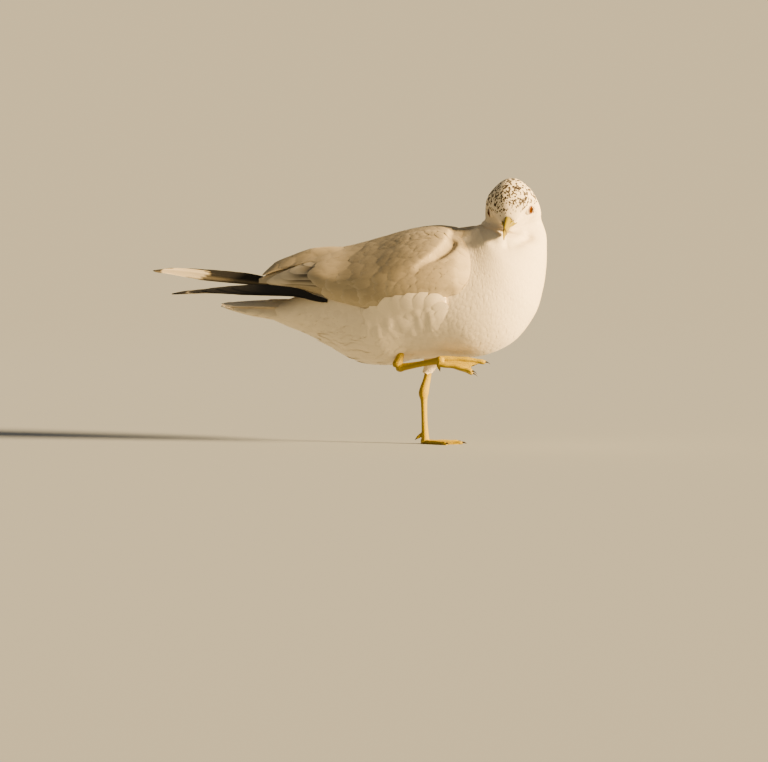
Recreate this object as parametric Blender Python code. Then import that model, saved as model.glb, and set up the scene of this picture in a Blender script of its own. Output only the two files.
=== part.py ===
"""Common gull (Larus canus), adult in winter plumage, on its left leg with its head turned to its right.

Metres, +X towards the breast, +Y to the bird's left, +Z up. The origin is the centre of the standing foot's
sole, on the floor. The tables below are in millimetres. Body, neck and head are one loft, parted by thin cuts
across it."""

import math

import bmesh
import bpy
import numpy as np
from mathutils import Matrix, Vector
from mathutils.bvhtree import BVHTree

MM = 0.001
GAP = 0.3 * MM  # clear space between neighbouring pieces
AROUND = 32  # points round the body
LIMB_SIDES = 10  # sides of a leg or toe

# The head's own frame: its origin lies midway between the eyes, its X runs out along the bill.
HEAD_AXIS_X = 76.1  # the upright line about which the neck turns
EYE_AHEAD = 6.0  # the eyes lie this far in front of that line
EYE_HEIGHT = 241.0
HEAD_YAW = math.radians(-86.5)  # turned to the bird's right
HEAD_PITCH = math.radians(28)  # looking down
HEAD_ROLL = math.radians(5)  # its left eye a little higher

# Stations of the body, tail end to neck: the back's point (x, z), the belly's point (x, z), half width,
# how far the middle lies to the left, and how far the skin is turned about the body there, in degrees.
BODY_STATIONS = [
    (-162, 147.0, -180, 127.5, 19, 0.0, 0),
    (-152, 151.0, -162, 120.0, 26.5, 0.0, 0),
    (-134, 163.0, -140, 112.0, 33, 0.0, 0),
    (-112, 181.0, -116, 101.5, 41, 0.0, 0),
    (-87, 198.0, -90, 87.5, 47.5, 0.0, 0),
    (-57, 208.0, -59, 81.5, 52, 0.0, 0),
    (-24, 215.5, -24, 88.0, 54, 0.0, 0),
    (4, 219.5, 10, 89.5, 54, 0.0, 0),
    (24, 222.5, 46, 92.0, 53, 0.0, 8),
    (34, 224.0, 78, 107.0, 51, 0.0, 18),
    (39, 225.0, 99.3, 134.0, 48, 0.0, 30),
    (42, 226.2, 107.8, 160.0, 44, 0.0, 43),
    (44, 226.5, 111.2, 182.0, 38.5, 1.0, 57),
    (45, 226.8, 111.6, 201.0, 33, 3.0, 70),
]
# Where the neck meets the head's frame: the middle, then the reach to the nape and to the head's left cheek.
COLLAR = ((76.8, 7.5, 222.0), (-4.0, 25.2, 4.7), (32.6, 5.2, -6.0))
# Stations of the head before it is turned: nape or crown (x, z), throat or chin (x, z), half width, and the
# share of the head's roll.
HEAD_STATIONS = [
    (41.1, 241.0, 94.6, 221.0, 31.5, 0.0),
    (42.6, 251.5, 94.7, 222.0, 30.5, 0.4),
    (46.6, 261.0, 94.7, 222.6, 30.0, 0.8),
    (53.1, 267.9, 94.7, 223.0, 29.5, 1.0),
    (63.1, 273.2, 94.8, 223.4, 29.3, 1.0),
    (74.1, 273.9, 94.9, 223.8, 29.0, 1.0),
    (84.1, 268.9, 95.1, 224.1, 28.5, 1.0),
    (91.6, 261.0, 95.3, 224.4, 27.5, 1.0),
    (96.1, 251.5, 95.6, 224.7, 25.5, 1.0),
    (98.3, 243.0, 96.0, 225.0, 22.5, 1.0),
    (99.1, 235.5, 96.5, 225.4, 19.5, 1.0),
]
CROWN_POINT = 0.34  # how much narrower the head is at the crown than at the cheeks
# The face narrows towards the bill: (distance ahead of the eyes, share of the full width).
FACE_TAPER = ((-25, 1.0), (-10, 0.95), (0, 0.77), (8, 0.58), (14, 0.42), (19, 0.3))
NECK_BASE = 11  # the station at which the trunk ends
HEAD_BASE = 15  # the station at which the head begins

EYE_RADIUS = 6.4
EYE_SIDE = 17.4  # the eyeball's middle, from the head's mid-plane

BILL_BASE = 16.0  # ahead of the eyes
BILL_HALF, BILL_TIP_HALF = 3.7, 0.45  # half its width at the root, above what is left at the tip
BILL_TAPER = 0.8
BILL_TIP = 48.0
BILL_RINGS, BILL_SIDES = 10, 12

TAIL_ROOT_X, TAIL_TIP_X = -128.0, -230.0
TAIL_TOP, TAIL_DIP = 147.3, 4.3  # the root, and how much lower the tip
TAIL_HALF_ROOT, TAIL_HALF_TIP = 16.0, 28.0
TAIL_THICK_ROOT, TAIL_THICK_TIP = 22.0, 1.6
TAIL_FULLNESS = 2.5  # how late the root's depth thins out towards the tip
TAIL_DROOP = 7.0  # how far the fan's sides hang
TAIL_FLATTENING = 0.8  # the share of that droop lost at the tip
TAIL_CORNER = 6.0  # how much shorter the outer feathers end

COLOURS = {
    "white": (0.80, 0.76, 0.68, 1),
    "grey": (0.34, 0.32, 0.30, 1),
    "black": (0.02, 0.018, 0.016, 1),
    "yellow": (0.72, 0.46, 0.05, 1),
    "bill": (0.80, 0.58, 0.06, 1),
    "eye": (0.12, 0.04, 0.01, 1),
}
ROUGHNESS = {"white": 0.85, "grey": 0.75, "black": 0.5, "yellow": 0.45, "bill": 0.35, "eye": 0.08}


def clear_scene():
    for obj in list(bpy.data.objects):
        bpy.data.objects.remove(obj)


def material(name):
    found = bpy.data.materials.get(name)
    if found:
        return found
    made = bpy.data.materials.new(name)
    made.use_nodes = True
    shader = made.node_tree.nodes["Principled BSDF"]
    shader.inputs["Base Color"].default_value = COLOURS[name]
    shader.inputs["Roughness"].default_value = ROUGHNESS[name]
    shader.inputs["Metallic"].default_value = 0.0
    return made


def smooth_rows(rows, where):
    """A Catmull-Rom curve through the rows, read at the fractional row numbers in where."""
    rows = np.asarray(rows, float)
    first, last = 2 * rows[0] - rows[1], 2 * rows[-1] - rows[-2]
    padded = np.concatenate([first[None], rows, last[None]])
    where = np.asarray(where, float)
    low = np.clip(np.floor(where).astype(int), 0, len(rows) - 2)
    t = (where - low).reshape((-1,) + (1,) * (rows.ndim - 1))
    p0, p1, p2, p3 = (padded[low + k] for k in range(4))
    cubic = (3 * p1 - p0 - 3 * p2 + p3) * t**3
    return 0.5 * (2 * p1 + (p2 - p0) * t + (2 * p0 - 5 * p1 + 4 * p2 - p3) * t**2 + cubic)


def head_matrix(roll_share=1.0):
    """From the head's own frame to the world, in millimetres."""
    ahead = Vector((math.cos(HEAD_YAW), math.sin(HEAD_YAW), 0)) * EYE_AHEAD
    place = Vector((HEAD_AXIS_X, 0, EYE_HEIGHT)) + ahead
    turn = Matrix.Rotation(HEAD_YAW, 4, "Z") @ Matrix.Rotation(HEAD_PITCH, 4, "Y")
    return Matrix.Translation(place) @ turn @ Matrix.Rotation(HEAD_ROLL * roll_share, 4, "X")


def to_world(points, matrix):
    m = np.array(matrix)
    return points @ m[:3, :3].T + m[:3, 3]


def body_outline(station, angle):
    """An ellipse from the back's point to the belly's, its start turned by the station's twist."""
    dx, dz, vx, vz, half, side, twist = station
    turned = angle + math.radians(twist)
    middle = np.array([(dx + vx) / 2, side, (dz + vz) / 2])
    up = np.array([(dx - vx) / 2, 0, (dz - vz) / 2])
    return middle + np.outer(np.cos(turned), up) + np.outer(np.sin(turned), [0, half, 0])


def head_outline(station, angle):
    """An egg from the crown's point to the chin's, narrowed by the face's taper, turned with the head."""
    dx, dz, vx, vz, half, roll_share = station
    along = np.cos(angle)
    x = (dx + vx) / 2 + along * (dx - vx) / 2 - HEAD_AXIS_X - EYE_AHEAD
    z = (dz + vz) / 2 + along * (dz - vz) / 2 - EYE_HEIGHT
    cos, sin = math.cos(HEAD_PITCH), math.sin(HEAD_PITCH)
    ahead = cos * x - sin * z
    above = sin * x + cos * z
    taper = np.interp(ahead, *zip(*FACE_TAPER))
    side = half * np.sin(angle) * (1 - CROWN_POINT * along) * taper
    return to_world(np.stack([ahead, side, above], 1), head_matrix(roll_share))


def body_outlines():
    """Every station's outline, tail end to bill, as one array of stations by points by three."""
    angle = np.linspace(0, 2 * math.pi, AROUND, endpoint=False)
    middle, nape, cheek = (np.array(v) for v in COLLAR)
    collar = middle + np.outer(np.cos(angle), nape) + np.outer(np.sin(angle), cheek)
    lower = [body_outline(s, angle) for s in BODY_STATIONS]
    upper = [head_outline(s, angle) for s in HEAD_STATIONS]
    return np.array(lower + [collar] + upper)


def plane_normal(ring, towards):
    """The normal of a flat ring, on the side that towards points to."""
    middle = ring.mean(0)
    quarter = len(ring) // 4
    normal = np.cross(ring[0] - middle, ring[quarter] - middle)
    normal /= np.linalg.norm(normal)
    return normal if normal @ towards > 0 else -normal


def mesh_object(name, colour, points, faces):
    """A closed mesh in millimetres made into an object in metres, its faces turned outwards."""
    mesh = bpy.data.meshes.new(name)
    mesh.from_pydata((np.asarray(points, float) * MM).tolist(), [], faces)
    work = bmesh.new()
    work.from_mesh(mesh)
    bmesh.ops.recalc_face_normals(work, faces=work.faces)
    if work.calc_volume(signed=True) < 0:
        bmesh.ops.reverse_faces(work, faces=work.faces)
    work.to_mesh(mesh)
    work.free()
    mesh.materials.append(material(colour))
    mesh.shade_smooth()
    mesh.set_sharp_from_angle(angle=math.radians(50))
    obj = bpy.data.objects.new(name, mesh)
    bpy.context.scene.collection.objects.link(obj)
    return obj


def ring_loft(name, colour, rings):
    """A closed solid through rings of equal count, its two ends capped."""
    rings = np.asarray(rings, float)
    count, around = rings.shape[:2]
    index = np.arange(count * around).reshape(count, around)
    after = np.roll(index, -1, axis=1)
    sides = np.stack([index[:-1], after[:-1], after[1:], index[1:]], -1).reshape(-1, 4)
    faces = sides.tolist() + [index[0].tolist(), index[-1][::-1].tolist()]
    return mesh_object(name, colour, rings.reshape(-1, 3), faces)


def body_piece(name, outlines, first, last, steps):
    """The body between two stations, each divided into steps; a cut end is drawn back by half the gap."""
    where = np.linspace(first, last, (last - first) * steps + 1)
    rings = smooth_rows(outlines, where)
    if first > 0:
        rings[0] += plane_normal(rings[0], rings[1].mean(0) - rings[0].mean(0)) * GAP / MM / 2
    if last < len(outlines) - 1:
        rings[-1] += plane_normal(rings[-1], rings[-2].mean(0) - rings[-1].mean(0)) * GAP / MM / 2
    return ring_loft(name, "white", rings)


def cutter_of(obj, grow=GAP):
    """A hidden copy of an object, each point moved out along its normal."""
    mesh = obj.data.copy()
    moved = [v.co + v.normal * grow for v in mesh.vertices]
    mesh.vertices.foreach_set("co", np.array(moved, np.float32).ravel())
    copy = bpy.data.objects.new(obj.name + "_cutter", mesh)
    bpy.context.scene.collection.objects.link(copy)
    copy.hide_render = True
    copy.display_type = "WIRE"
    return copy


def carve(target, cutter):
    cut = target.modifiers.new("carve_" + cutter.name, "BOOLEAN")
    cut.operation = "DIFFERENCE"
    cut.solver = "EXACT"
    cut.object = cutter


def circle(count):
    turn = np.linspace(0, 2 * math.pi, count, endpoint=False)
    return np.cos(turn), np.sin(turn)


def tube(name, colour, path, radii, sides=LIMB_SIDES):
    """A tube along a path of points, with a pair of radii at each: across the limb and in its depth."""
    path = np.asarray(path, float)
    ahead = np.gradient(path, axis=0)
    ahead /= np.linalg.norm(ahead, axis=1)[:, None]
    side = np.cross(ahead, [0, 1, 0])
    side /= np.linalg.norm(side, axis=1)[:, None]
    third = np.cross(side, ahead)
    c, s = circle(sides)
    radii = np.asarray(radii, float)
    rings = (
        path[:, None]
        + side[:, None] * (c[None, :, None] * radii[:, 0, None, None])
        + third[:, None] * (s[None, :, None] * radii[:, 1, None, None])
    )
    return ring_loft(name, colour, rings)


def smooth_path(points, count):
    return smooth_rows(points, np.linspace(0, len(points) - 1, count))


# ---------------------------------------------------------------- body, neck and head


def make_body():
    outlines = body_outlines()
    trunk = body_piece("trunk", outlines, 0, NECK_BASE, 2)
    neck = body_piece("neck", outlines, NECK_BASE, HEAD_BASE, 2)
    head = body_piece("head", outlines, HEAD_BASE, len(outlines) - 1, 1)
    return trunk, neck, head


def make_eyes(head):
    for name, side in (("eye_left", 1), ("eye_right", -1)):
        mesh = bpy.data.meshes.new(name)
        work = bmesh.new()
        bmesh.ops.create_uvsphere(work, u_segments=14, v_segments=8, radius=EYE_RADIUS * MM)
        work.to_mesh(mesh)
        work.free()
        mesh.materials.append(material("eye"))
        mesh.shade_smooth()
        place = head_matrix() @ Vector((0, side * EYE_SIDE, 0))
        mesh.transform(Matrix.Translation(place * MM))
        eye = bpy.data.objects.new(name, mesh)
        bpy.context.scene.collection.objects.link(eye)
        carve(head, cutter_of(eye))


def bill_rings(upper, count=BILL_RINGS, sides=BILL_SIDES):
    """Half-oval slices from the bill's root to its tip: the upper half hooks over the lower at its point."""
    last = 1 if upper else 0.93
    share = np.linspace(0, last, count)
    parting = -3.0 - 0.9 * share - 3.0 * share**6
    half = BILL_HALF * (1 - share / last) ** BILL_TAPER + BILL_TIP_HALF
    if upper:
        edge = np.minimum(parting, 0)
        far = 3.4 - 2.3 * share - 4.6 * share**4
    else:
        gonys = np.exp(-(((share - 0.6) / 0.2) ** 2))
        edge = parting - GAP / MM
        far = np.minimum(-8.6 + 3.4 * share**2 - gonys, edge - 0.7)
    turn = np.linspace(0, math.pi, sides)
    x = np.repeat(BILL_BASE + share * (BILL_TIP - BILL_BASE), sides)
    y = np.outer(half, np.cos(turn)).ravel()
    z = (edge[:, None] + np.outer(far - edge, np.sin(turn))).ravel()
    return np.stack([x, y, z], 1).reshape(count, sides, 3)


def make_bill(head):
    for name, upper in (("bill_upper", True), ("bill_lower", False)):
        rings = to_world(bill_rings(upper).reshape(-1, 3), head_matrix()).reshape(BILL_RINGS, BILL_SIDES, 3)
        bill = ring_loft(name, "bill", rings)
        carve(head, cutter_of(bill))


# ---------------------------------------------------------------- tail


def make_tail(trunk):
    count = 9
    share = np.linspace(0, 1, count)
    x = TAIL_ROOT_X + share * (TAIL_TIP_X - TAIL_ROOT_X)
    half = TAIL_HALF_ROOT + share * (TAIL_HALF_TIP - TAIL_HALF_ROOT)
    thick = TAIL_THICK_TIP + (TAIL_THICK_ROOT - TAIL_THICK_TIP) * (1 - share**TAIL_FULLNESS)
    c, s = circle(20)
    rings = []
    for k in range(count):
        y = half[k] * c
        top = TAIL_TOP - TAIL_DIP * share[k] ** 3 - TAIL_DROOP * (1 - TAIL_FLATTENING * share[k] ** 2) * c**2
        z = top - thick[k] / 2 * (1 - s)
        corner = TAIL_CORNER * share[k] ** 6 * c**4
        rings.append(np.stack([x[k] + corner, y, z], 1))
    tail = ring_loft("tail", "white", rings)
    carve(trunk, cutter_of(tail))


# ---------------------------------------------------------------- wings

# The folded wing's outer face, front to back: x, then (outward, up) of its top edge, middle and lower edge.
WING_STATIONS = [
    (50, 46.0, 190.0, 49.0, 182.0, 47.0, 174.0),
    (44, 40.0, 203.0, 55.5, 183.0, 52.0, 158.0),
    (28, 28.0, 214.5, 61.0, 187.0, 57.5, 155.0),
    (4, 14.0, 221.0, 62.5, 186.0, 59.5, 148.0),
    (-28, 8.0, 218.5, 62.0, 180.0, 58.0, 141.0),
    (-60, 5.0, 210.0, 57.5, 173.0, 54.5, 141.5),
    (-90, 4.0, 202.0, 50.0, 170.0, 48.5, 146.5),
]
LEFT_LIFT = 6.5  # how much higher the left wing's upper edge rides over the tail
LEFT_LIFT_AT = (-190, -176, -135, -100)  # x, and its share of the lift there
LEFT_LIFT_SHARE = (0.3, 1.0, 1.0, 0.0)
WING_DEPTH = 14.0  # how far in the wing would reach if the body didn't stop it
WING_LEAST = 2.3  # the wing's outer face stays this far outside the body
WING_RIM = 3.2  # the wing's thickness along its edges
WING_DEPTH_FROM, WING_DEPTH_TO = 0.15, 0.6  # the part of a half wave that the depth follows, front to back
TERTIAL_DEPTH_ROOT, TERTIAL_DEPTH_TIP = 9.0, 0.8
TERTIAL_RIM_TIP = 0.8
TERTIAL_STATIONS = [
    (-91, 4.0, 201.7, 49.7, 170.0, 48.3, 146.7),
    (-115, 4.5, 198.0, 43.0, 172.0, 42.5, 153.0),
    (-138, 5.5, 192.5, 34.0, 173.0, 34.0, 158.0),
    (-158, 8.0, 185.5, 26.5, 171.5, 27.0, 160.5),
    (-176, 11.0, 178.0, 20.0, 169.5, 21.0, 162.5),
    (-190, 14.5, 170.5, 16.5, 167.0, 17.0, 164.0),
]


def surface_of(*objects):
    """A tree of the objects' faces, in millimetres, for finding the nearest point of their surface."""
    points, faces = [], []
    for obj in objects:
        start = len(points)
        points += [v.co / MM for v in obj.data.vertices]
        faces += [[start + k for k in polygon.vertices] for polygon in obj.data.polygons]
    return BVHTree.FromPolygons(points, faces)


def keep_outside(points, surface, least):
    """Each point nearer than the least distance, or inside the surface, is moved out to that distance."""
    for k, point in enumerate(points):
        place, normal, _, _ = surface.find_nearest(Vector(point))
        if (Vector(point) - place).dot(normal) < least:
            points[k] = place + normal * least
    return points


def wing_rings(stations, side, steps, depths, rims, surface, points=9):
    """Crescent slices: an arc through each station's three points, and back along one nearer the body."""
    rows = smooth_rows(stations, np.linspace(0, len(stations) - 1, steps))
    if side > 0:
        rows[:, 2] += LEFT_LIFT * np.interp(rows[:, 0], LEFT_LIFT_AT, LEFT_LIFT_SHARE)
    t = np.linspace(0, 1, points)
    rings = []
    for row, depth, rim in zip(rows, depths, rims):
        x, top, mid, low = row[0], row[1:3], row[3:5], row[5:7]
        bend = 2 * mid - (top + low) / 2
        arc = np.outer((1 - t) ** 2, top) + np.outer(2 * t * (1 - t), bend) + np.outer(t**2, low)
        solid = np.stack([np.full(points, x), side * arc[:, 0], arc[:, 1]], 1)
        solid = keep_outside(solid, surface, WING_LEAST)
        arc = np.stack([side * solid[:, 1], solid[:, 2]], 1)
        slope = np.gradient(arc, axis=0)
        inward = np.stack([slope[:, 1], -slope[:, 0]], 1)
        inward /= np.linalg.norm(inward, axis=1)[:, None]
        inner = (arc + inward * (rim + depth * np.sin(math.pi * t))[:, None])[::-1]
        loop = np.concatenate([arc, inner])
        rings.append(np.stack([np.full(len(loop), x), side * loop[:, 0], loop[:, 1]], 1))
    return np.array(rings)


def make_wing(side, word, surface, trunk_cutter, neck_cutter):
    steps = 15
    depths = WING_DEPTH * np.sin(np.linspace(WING_DEPTH_FROM, WING_DEPTH_TO, steps) * math.pi)
    rims = np.full(steps, WING_RIM)
    arm = ring_loft(f"wing_{word}_arm", "grey", wing_rings(WING_STATIONS, side, steps, depths, rims, surface))
    carve(arm, trunk_cutter)
    carve(arm, neck_cutter)
    steps = 10
    depths = np.linspace(TERTIAL_DEPTH_ROOT, TERTIAL_DEPTH_TIP, steps)
    rims = np.linspace(WING_RIM, TERTIAL_RIM_TIP, steps)
    rings = wing_rings(TERTIAL_STATIONS, side, steps, depths, rims, surface)
    tertials = ring_loft(f"wing_{word}_tertials", "grey", rings)
    carve(tertials, trunk_cutter)
    return arm, tertials


# Each folded wing tip: its middle line, then half height, half thickness and lean from upright in degrees.
PRIMARIES = {
    "right": [
        ((-102, -44.5, 147), 2.5, 1.3, 26),
        ((-121, -42, 150.3), 4.5, 1.6, 30),
        ((-143, -35.5, 155.5), 8.0, 1.6, 36),
        ((-184, -24, 157), 8.0, 1.5, 42),
        ((-227, -11, 157), 4.8, 1.2, 48),
        ((-262, -1, 154.8), 2.4, 0.9, 54),
        ((-289, 6, 153.5), 0.9, 0.6, 58),
    ],
    "left": [
        ((-172, 14, 161), 6.0, 1.5, 36),
        ((-195, 9, 165.5), 8.6, 1.6, 30),
        ((-228, 0, 170.0), 9.2, 1.4, 24),
        ((-266, -9, 174.5), 5.5, 1.1, 18),
        ((-292, -15, 177), 2.6, 0.8, 16),
        ((-303, -17.5, 178), 0.9, 0.6, 16),
    ],
}


def make_primaries(word, *cutters):
    rows = np.array([(*middle, high, thick, lean) for middle, high, thick, lean in PRIMARIES[word]], float)
    rows = smooth_rows(rows, np.linspace(0, len(rows) - 1, 14))
    side = -1 if word == "right" else 1
    c, s = circle(12)
    rings = []
    for x, y, z, high, thick, lean in rows:
        lean = math.radians(lean)
        up = np.array([0, -side * math.sin(lean), math.cos(lean)])
        out = np.array([0, side * math.cos(lean), math.sin(lean)])
        rings.append(np.array([x, y, z]) + np.outer(c * high, up) + np.outer(s * thick, out))
    primaries = ring_loft(f"wing_{word}_primaries", "black", rings)
    for cutter in cutters:
        carve(primaries, cutter)
    return primaries


# ---------------------------------------------------------------- legs

LEFT_ANKLE = (-17.5, 2.5, 52.5)
LEFT_SOLE = (-15.5, 0.0, 0.0)
RIGHT_HEEL = (-37.0, -24.0, 80.5)
RIGHT_TOE_ROOT = (10.5, -35.0, 88.5)
FOOT_HUB = (-16.8, 0.0)  # the ball of the standing foot, where its toes meet
BALL_RADIUS, BALL_HIGH = 4.8, 4.2
TOES_STANDING = ((-31, 37.0), (1, 45.5), (32, 41.5))  # bearing in degrees to the left, length
TOE_HALF, TOE_HIGH = 2.6, 4.0
WEB_THICK = 1.1


WEB_SCALLOP = 0.24  # how deep each web's edge dips between the toes, as a share of their length


def web_reach(bearing, toes):
    """How far the foot reaches at each bearing: to the toes' tips, scalloped between, elsewhere the ball."""
    reach = np.full_like(bearing, BALL_RADIUS)
    for (angle, length), (next_angle, next_length) in zip(toes[:-1], toes[1:]):
        share = (bearing - angle) / (next_angle - angle)
        within = (share > -1e-6) & (share < 1 + 1e-6)
        share = np.clip(share, 0, 1)
        scallop = 1 - WEB_SCALLOP * np.sin(math.pi * share) ** 0.8
        reach = np.where(within, (length + (next_length - length) * share) * scallop, reach)
    return reach


def make_standing_foot():
    """A flat-soled plate about the ball of the foot: three round toes, webs between them and a dome."""
    toes = TOES_STANDING
    fronts = [np.linspace(a, b, 9) for (a, _), (b, _) in zip(toes[:-1], toes[1:])]
    behind = np.array([48, 75, 110, 150, 190, 230, 265, 300, 318])
    bearing = np.concatenate([fronts[0], fronts[1][1:], behind]).astype(float)
    reach = web_reach(bearing, toes)
    share = np.array([0.07, 0.16, 0.3, 0.46, 0.62, 0.78, 0.91, 1.0])
    r = reach[None] * share[:, None]
    high = BALL_HIGH * np.sqrt(np.clip(1 - (r / (BALL_RADIUS * 1.1)) ** 2, 0, 1))
    high = np.maximum(high, WEB_THICK)
    for angle, length in toes:
        off = np.radians(np.abs(bearing - angle))[None] * r
        taper = TOE_HIGH * (1 - 0.5 * r / length)
        high = np.maximum(high, taper * np.sqrt(np.clip(1 - (off / TOE_HALF) ** 2, 0, 1)))
    turn = np.radians(bearing)[None]
    x = FOOT_HUB[0] + r * np.cos(turn)
    y = FOOT_HUB[1] + r * np.sin(turn)
    rows, around = r.shape
    top = np.stack([x, y, high], -1).reshape(-1, 3)
    rim = np.stack([x[-1], y[-1], np.zeros(around)], -1)
    points = np.concatenate([top, rim, [[*FOOT_HUB, BALL_HIGH]]])
    index = np.arange((rows + 1) * around).reshape(rows + 1, around)
    after = np.roll(index, -1, axis=1)
    faces = np.stack([index[:-1], after[:-1], after[1:], index[1:]], -1).reshape(-1, 4).tolist()
    centre = len(points) - 1
    faces += [[centre, int(a), int(b)] for a, b in zip(after[0], index[0])]
    faces.append(index[-1].tolist())
    return mesh_object("foot_left", "yellow", points, faces)


# The legs' tubes: points as offsets from a landmark, then the half width across and the half depth at each.
LEFT_TARSUS_LOW = ((0.3, 0, 4.5), (0.1, 0.1, 8))  # from the sole
LEFT_TARSUS_HIGH = ((0.2, 0, -9), (-0.2, 0, -3.2))  # from the ankle
LEFT_TARSUS_HALF = ((4.3, 4.3), (3.9, 3.8), (3.2, 3.1), (3.6, 3.3), (4.6, 3.9))
LEFT_ANKLE_PATH = ((-0.3, 0, -2.7), (0, 0.2, 0.6), (0.9, 0.8, 5), (2.6, 2.2, 13), (3.8, 3.4, 19))
LEFT_ANKLE_HALF = ((4.6, 3.9), (5.3, 4.4), (4.9, 4.1), (4.1, 3.8), (3.6, 3.5))
LEFT_THIGH_PATH = ((3.9, 3.5, 19.5), (5.0, 4.6, 24), (7.0, 6.4, 31), (9.5, 8.8, 41))
LEFT_THIGH_HALF = ((4.3, 4.2), (6.0, 6.0), (9.0, 9.0), (11.4, 11.4))
RIGHT_TARSUS_HEEL = ((1.5, -0.2, -0.6), (7.5, -1.6, 0.2))  # from the heel
RIGHT_TARSUS_ROOT = ((-6.5, 1.4, -1.4), (-0.5, 0, -0.6))  # from the toe root
RIGHT_TARSUS_HALF = ((4.9, 4.8), (4.0, 3.8), (3.3, 3.0), (3.7, 3.4), (4.8, 4.0))
RIGHT_ANKLE_PATH = ((-0.6, 0.1, -5.0), (-1.4, 0, -2.2), (-1.4, -0.2, 2.6), (0.6, -0.6, 8), (2.6, -1.0, 14))
RIGHT_ANKLE_HALF = ((1.8, 2.0), (5.2, 5.2), (5.7, 5.5), (4.3, 4.2), (3.6, 3.6))


def limb(name, colour, points, halves, rings):
    """A tube through the points, both they and its half sizes eased along it."""
    return tube(name, colour, smooth_path(points, rings), smooth_path(halves, rings))


def make_left_leg(trunk_cutter):
    sole, ankle = np.array(LEFT_SOLE), np.array(LEFT_ANKLE)
    make_standing_foot()
    middle = sole * 0.5 + ankle * 0.5 + (0, 0, -2)
    path = [*(sole + LEFT_TARSUS_LOW), middle, *(ankle + LEFT_TARSUS_HIGH)]
    tarsus = limb("tarsus_left", "yellow", path, LEFT_TARSUS_HALF, 12)
    joint = limb("ankle_left", "yellow", ankle + LEFT_ANKLE_PATH, LEFT_ANKLE_HALF, 10)
    carve(joint, cutter_of(tarsus))
    thigh = limb("thigh_left", "white", ankle + LEFT_THIGH_PATH, LEFT_THIGH_HALF, 8)
    carve(thigh, trunk_cutter)
    carve(thigh, cutter_of(joint))
    make_hind_toe("hind_toe_left", sole + HIND_TOE_LEFT, (-0.75, -0.15, -0.6), tarsus)


HIND_TOE_LEFT, HIND_TOE_RIGHT = (-2.4, -0.4, 10.5), (-3.6, 0.4, -2.6)  # from the sole, from the toe root
HIND_TOE_HALF = ((1.8, 1.7), (1.8, 1.7), (1.5, 1.4), (0.9, 0.8), (0.3, 0.3))
HIND_TOE_AT = (0.0, 3.9, 6.5, 8.8, 10.2)  # how far along it each of those lies


def make_hind_toe(name, root, direction, tarsus):
    """The short toe behind, its root sunk in the shank and cut off there."""
    direction = np.array(direction) / np.linalg.norm(direction)
    path = root + np.outer(HIND_TOE_AT, direction)
    toe = tube(name, "yellow", path, HIND_TOE_HALF, sides=8)
    carve(toe, cutter_of(tarsus))


# The lifted foot's toes, hanging half shut: the start from the toe root, the reach and the radius of each.
TOES_LIFTED = {
    "outer": ((-0.2, -3.2, -4.6), (38.5, 0.6, -8.0), 2.7),
    "middle": ((-0.5, 0.6, 1.0), (51.5, 9.0, -4.4), 3.0),
    "inner": ((-0.2, 4.8, -4.6), (34.6, 9.5, -11.6), 2.6),
}
TOE_SHARES = np.array([0.0, 0.12, 0.3, 0.5, 0.7, 0.84, 0.88, 0.94, 1.0])
TOE_SWELL = np.array([0.95, 1.0, 0.86, 0.92, 0.8, 0.8, 0.5, 0.36, 0.12])  # knuckles, then the claw
LIFTED_WEB_HALF = 0.45  # half the web's thickness


def make_right_leg(trunk_cutter):
    heel, root = np.array(RIGHT_HEEL), np.array(RIGHT_TOE_ROOT)
    middle = heel * 0.5 + root * 0.5 + (0, 0, -0.8)
    path = [*(heel + RIGHT_TARSUS_HEEL), middle, *(root + RIGHT_TARSUS_ROOT)]
    tarsus = limb("tarsus_right", "yellow", path, RIGHT_TARSUS_HALF, 14)
    joint = limb("ankle_right", "yellow", heel + RIGHT_ANKLE_PATH, RIGHT_ANKLE_HALF, 10)
    carve(joint, trunk_cutter)
    carve(joint, cutter_of(tarsus))
    paths = {}
    for word, (start, reach, radius) in TOES_LIFTED.items():
        paths[word] = toe_path(root + start, np.array(reach))
        swell = TOE_SWELL[:, None] * radius * np.array([1, 0.9])
        tube("toe_right_" + word, "yellow", paths[word], swell, sides=8)
    for word in ("outer", "inner"):
        make_lifted_web("web_right_" + word, paths["middle"], paths[word])
    make_hind_toe("hind_toe_right", root + HIND_TOE_RIGHT, (0.35, -0.3, -0.9), tarsus)


def toe_path(start, reach):
    """From just past the tarsus to the claw's point, a little arched."""
    arch = np.outer(np.sin(TOE_SHARES * math.pi), [0.4, 0, 1.6])
    return start + np.outer(TOE_SHARES * 0.94 + 0.03, reach) + arch


def make_lifted_web(name, first, second):
    """A thin plate between two toes, from where they part to before their claws."""
    clear = 3.3  # from a toe's middle to the web's edge
    c, s = circle(8)
    rings = []
    for k in range(3, 6):
        across = second[k] - first[k]
        width = np.linalg.norm(across)
        across /= width
        ahead = first[k + 1] - first[k]
        thick = np.cross(ahead, across)
        thick /= np.linalg.norm(thick)
        middle = (first[k] + second[k]) / 2
        half = max(width / 2 - clear, 0.3)
        rings.append(middle + np.outer(c * half, across) + np.outer(s * LIFTED_WEB_HALF, thick))
    ring_loft(name, "yellow", rings)


def main():
    clear_scene()
    trunk, neck, head = make_body()
    trunk_cutter, neck_cutter = cutter_of(trunk), cutter_of(neck)
    surface = surface_of(trunk, neck)
    make_eyes(head)
    make_bill(head)
    make_tail(trunk)
    for side, word in ((-1, "right"), (1, "left")):
        arm, tertials = make_wing(side, word, surface, trunk_cutter, neck_cutter)
        make_primaries(word, trunk_cutter, cutter_of(arm), cutter_of(tertials))
    make_left_leg(trunk_cutter)
    make_right_leg(trunk_cutter)


main()
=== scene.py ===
import math

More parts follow.
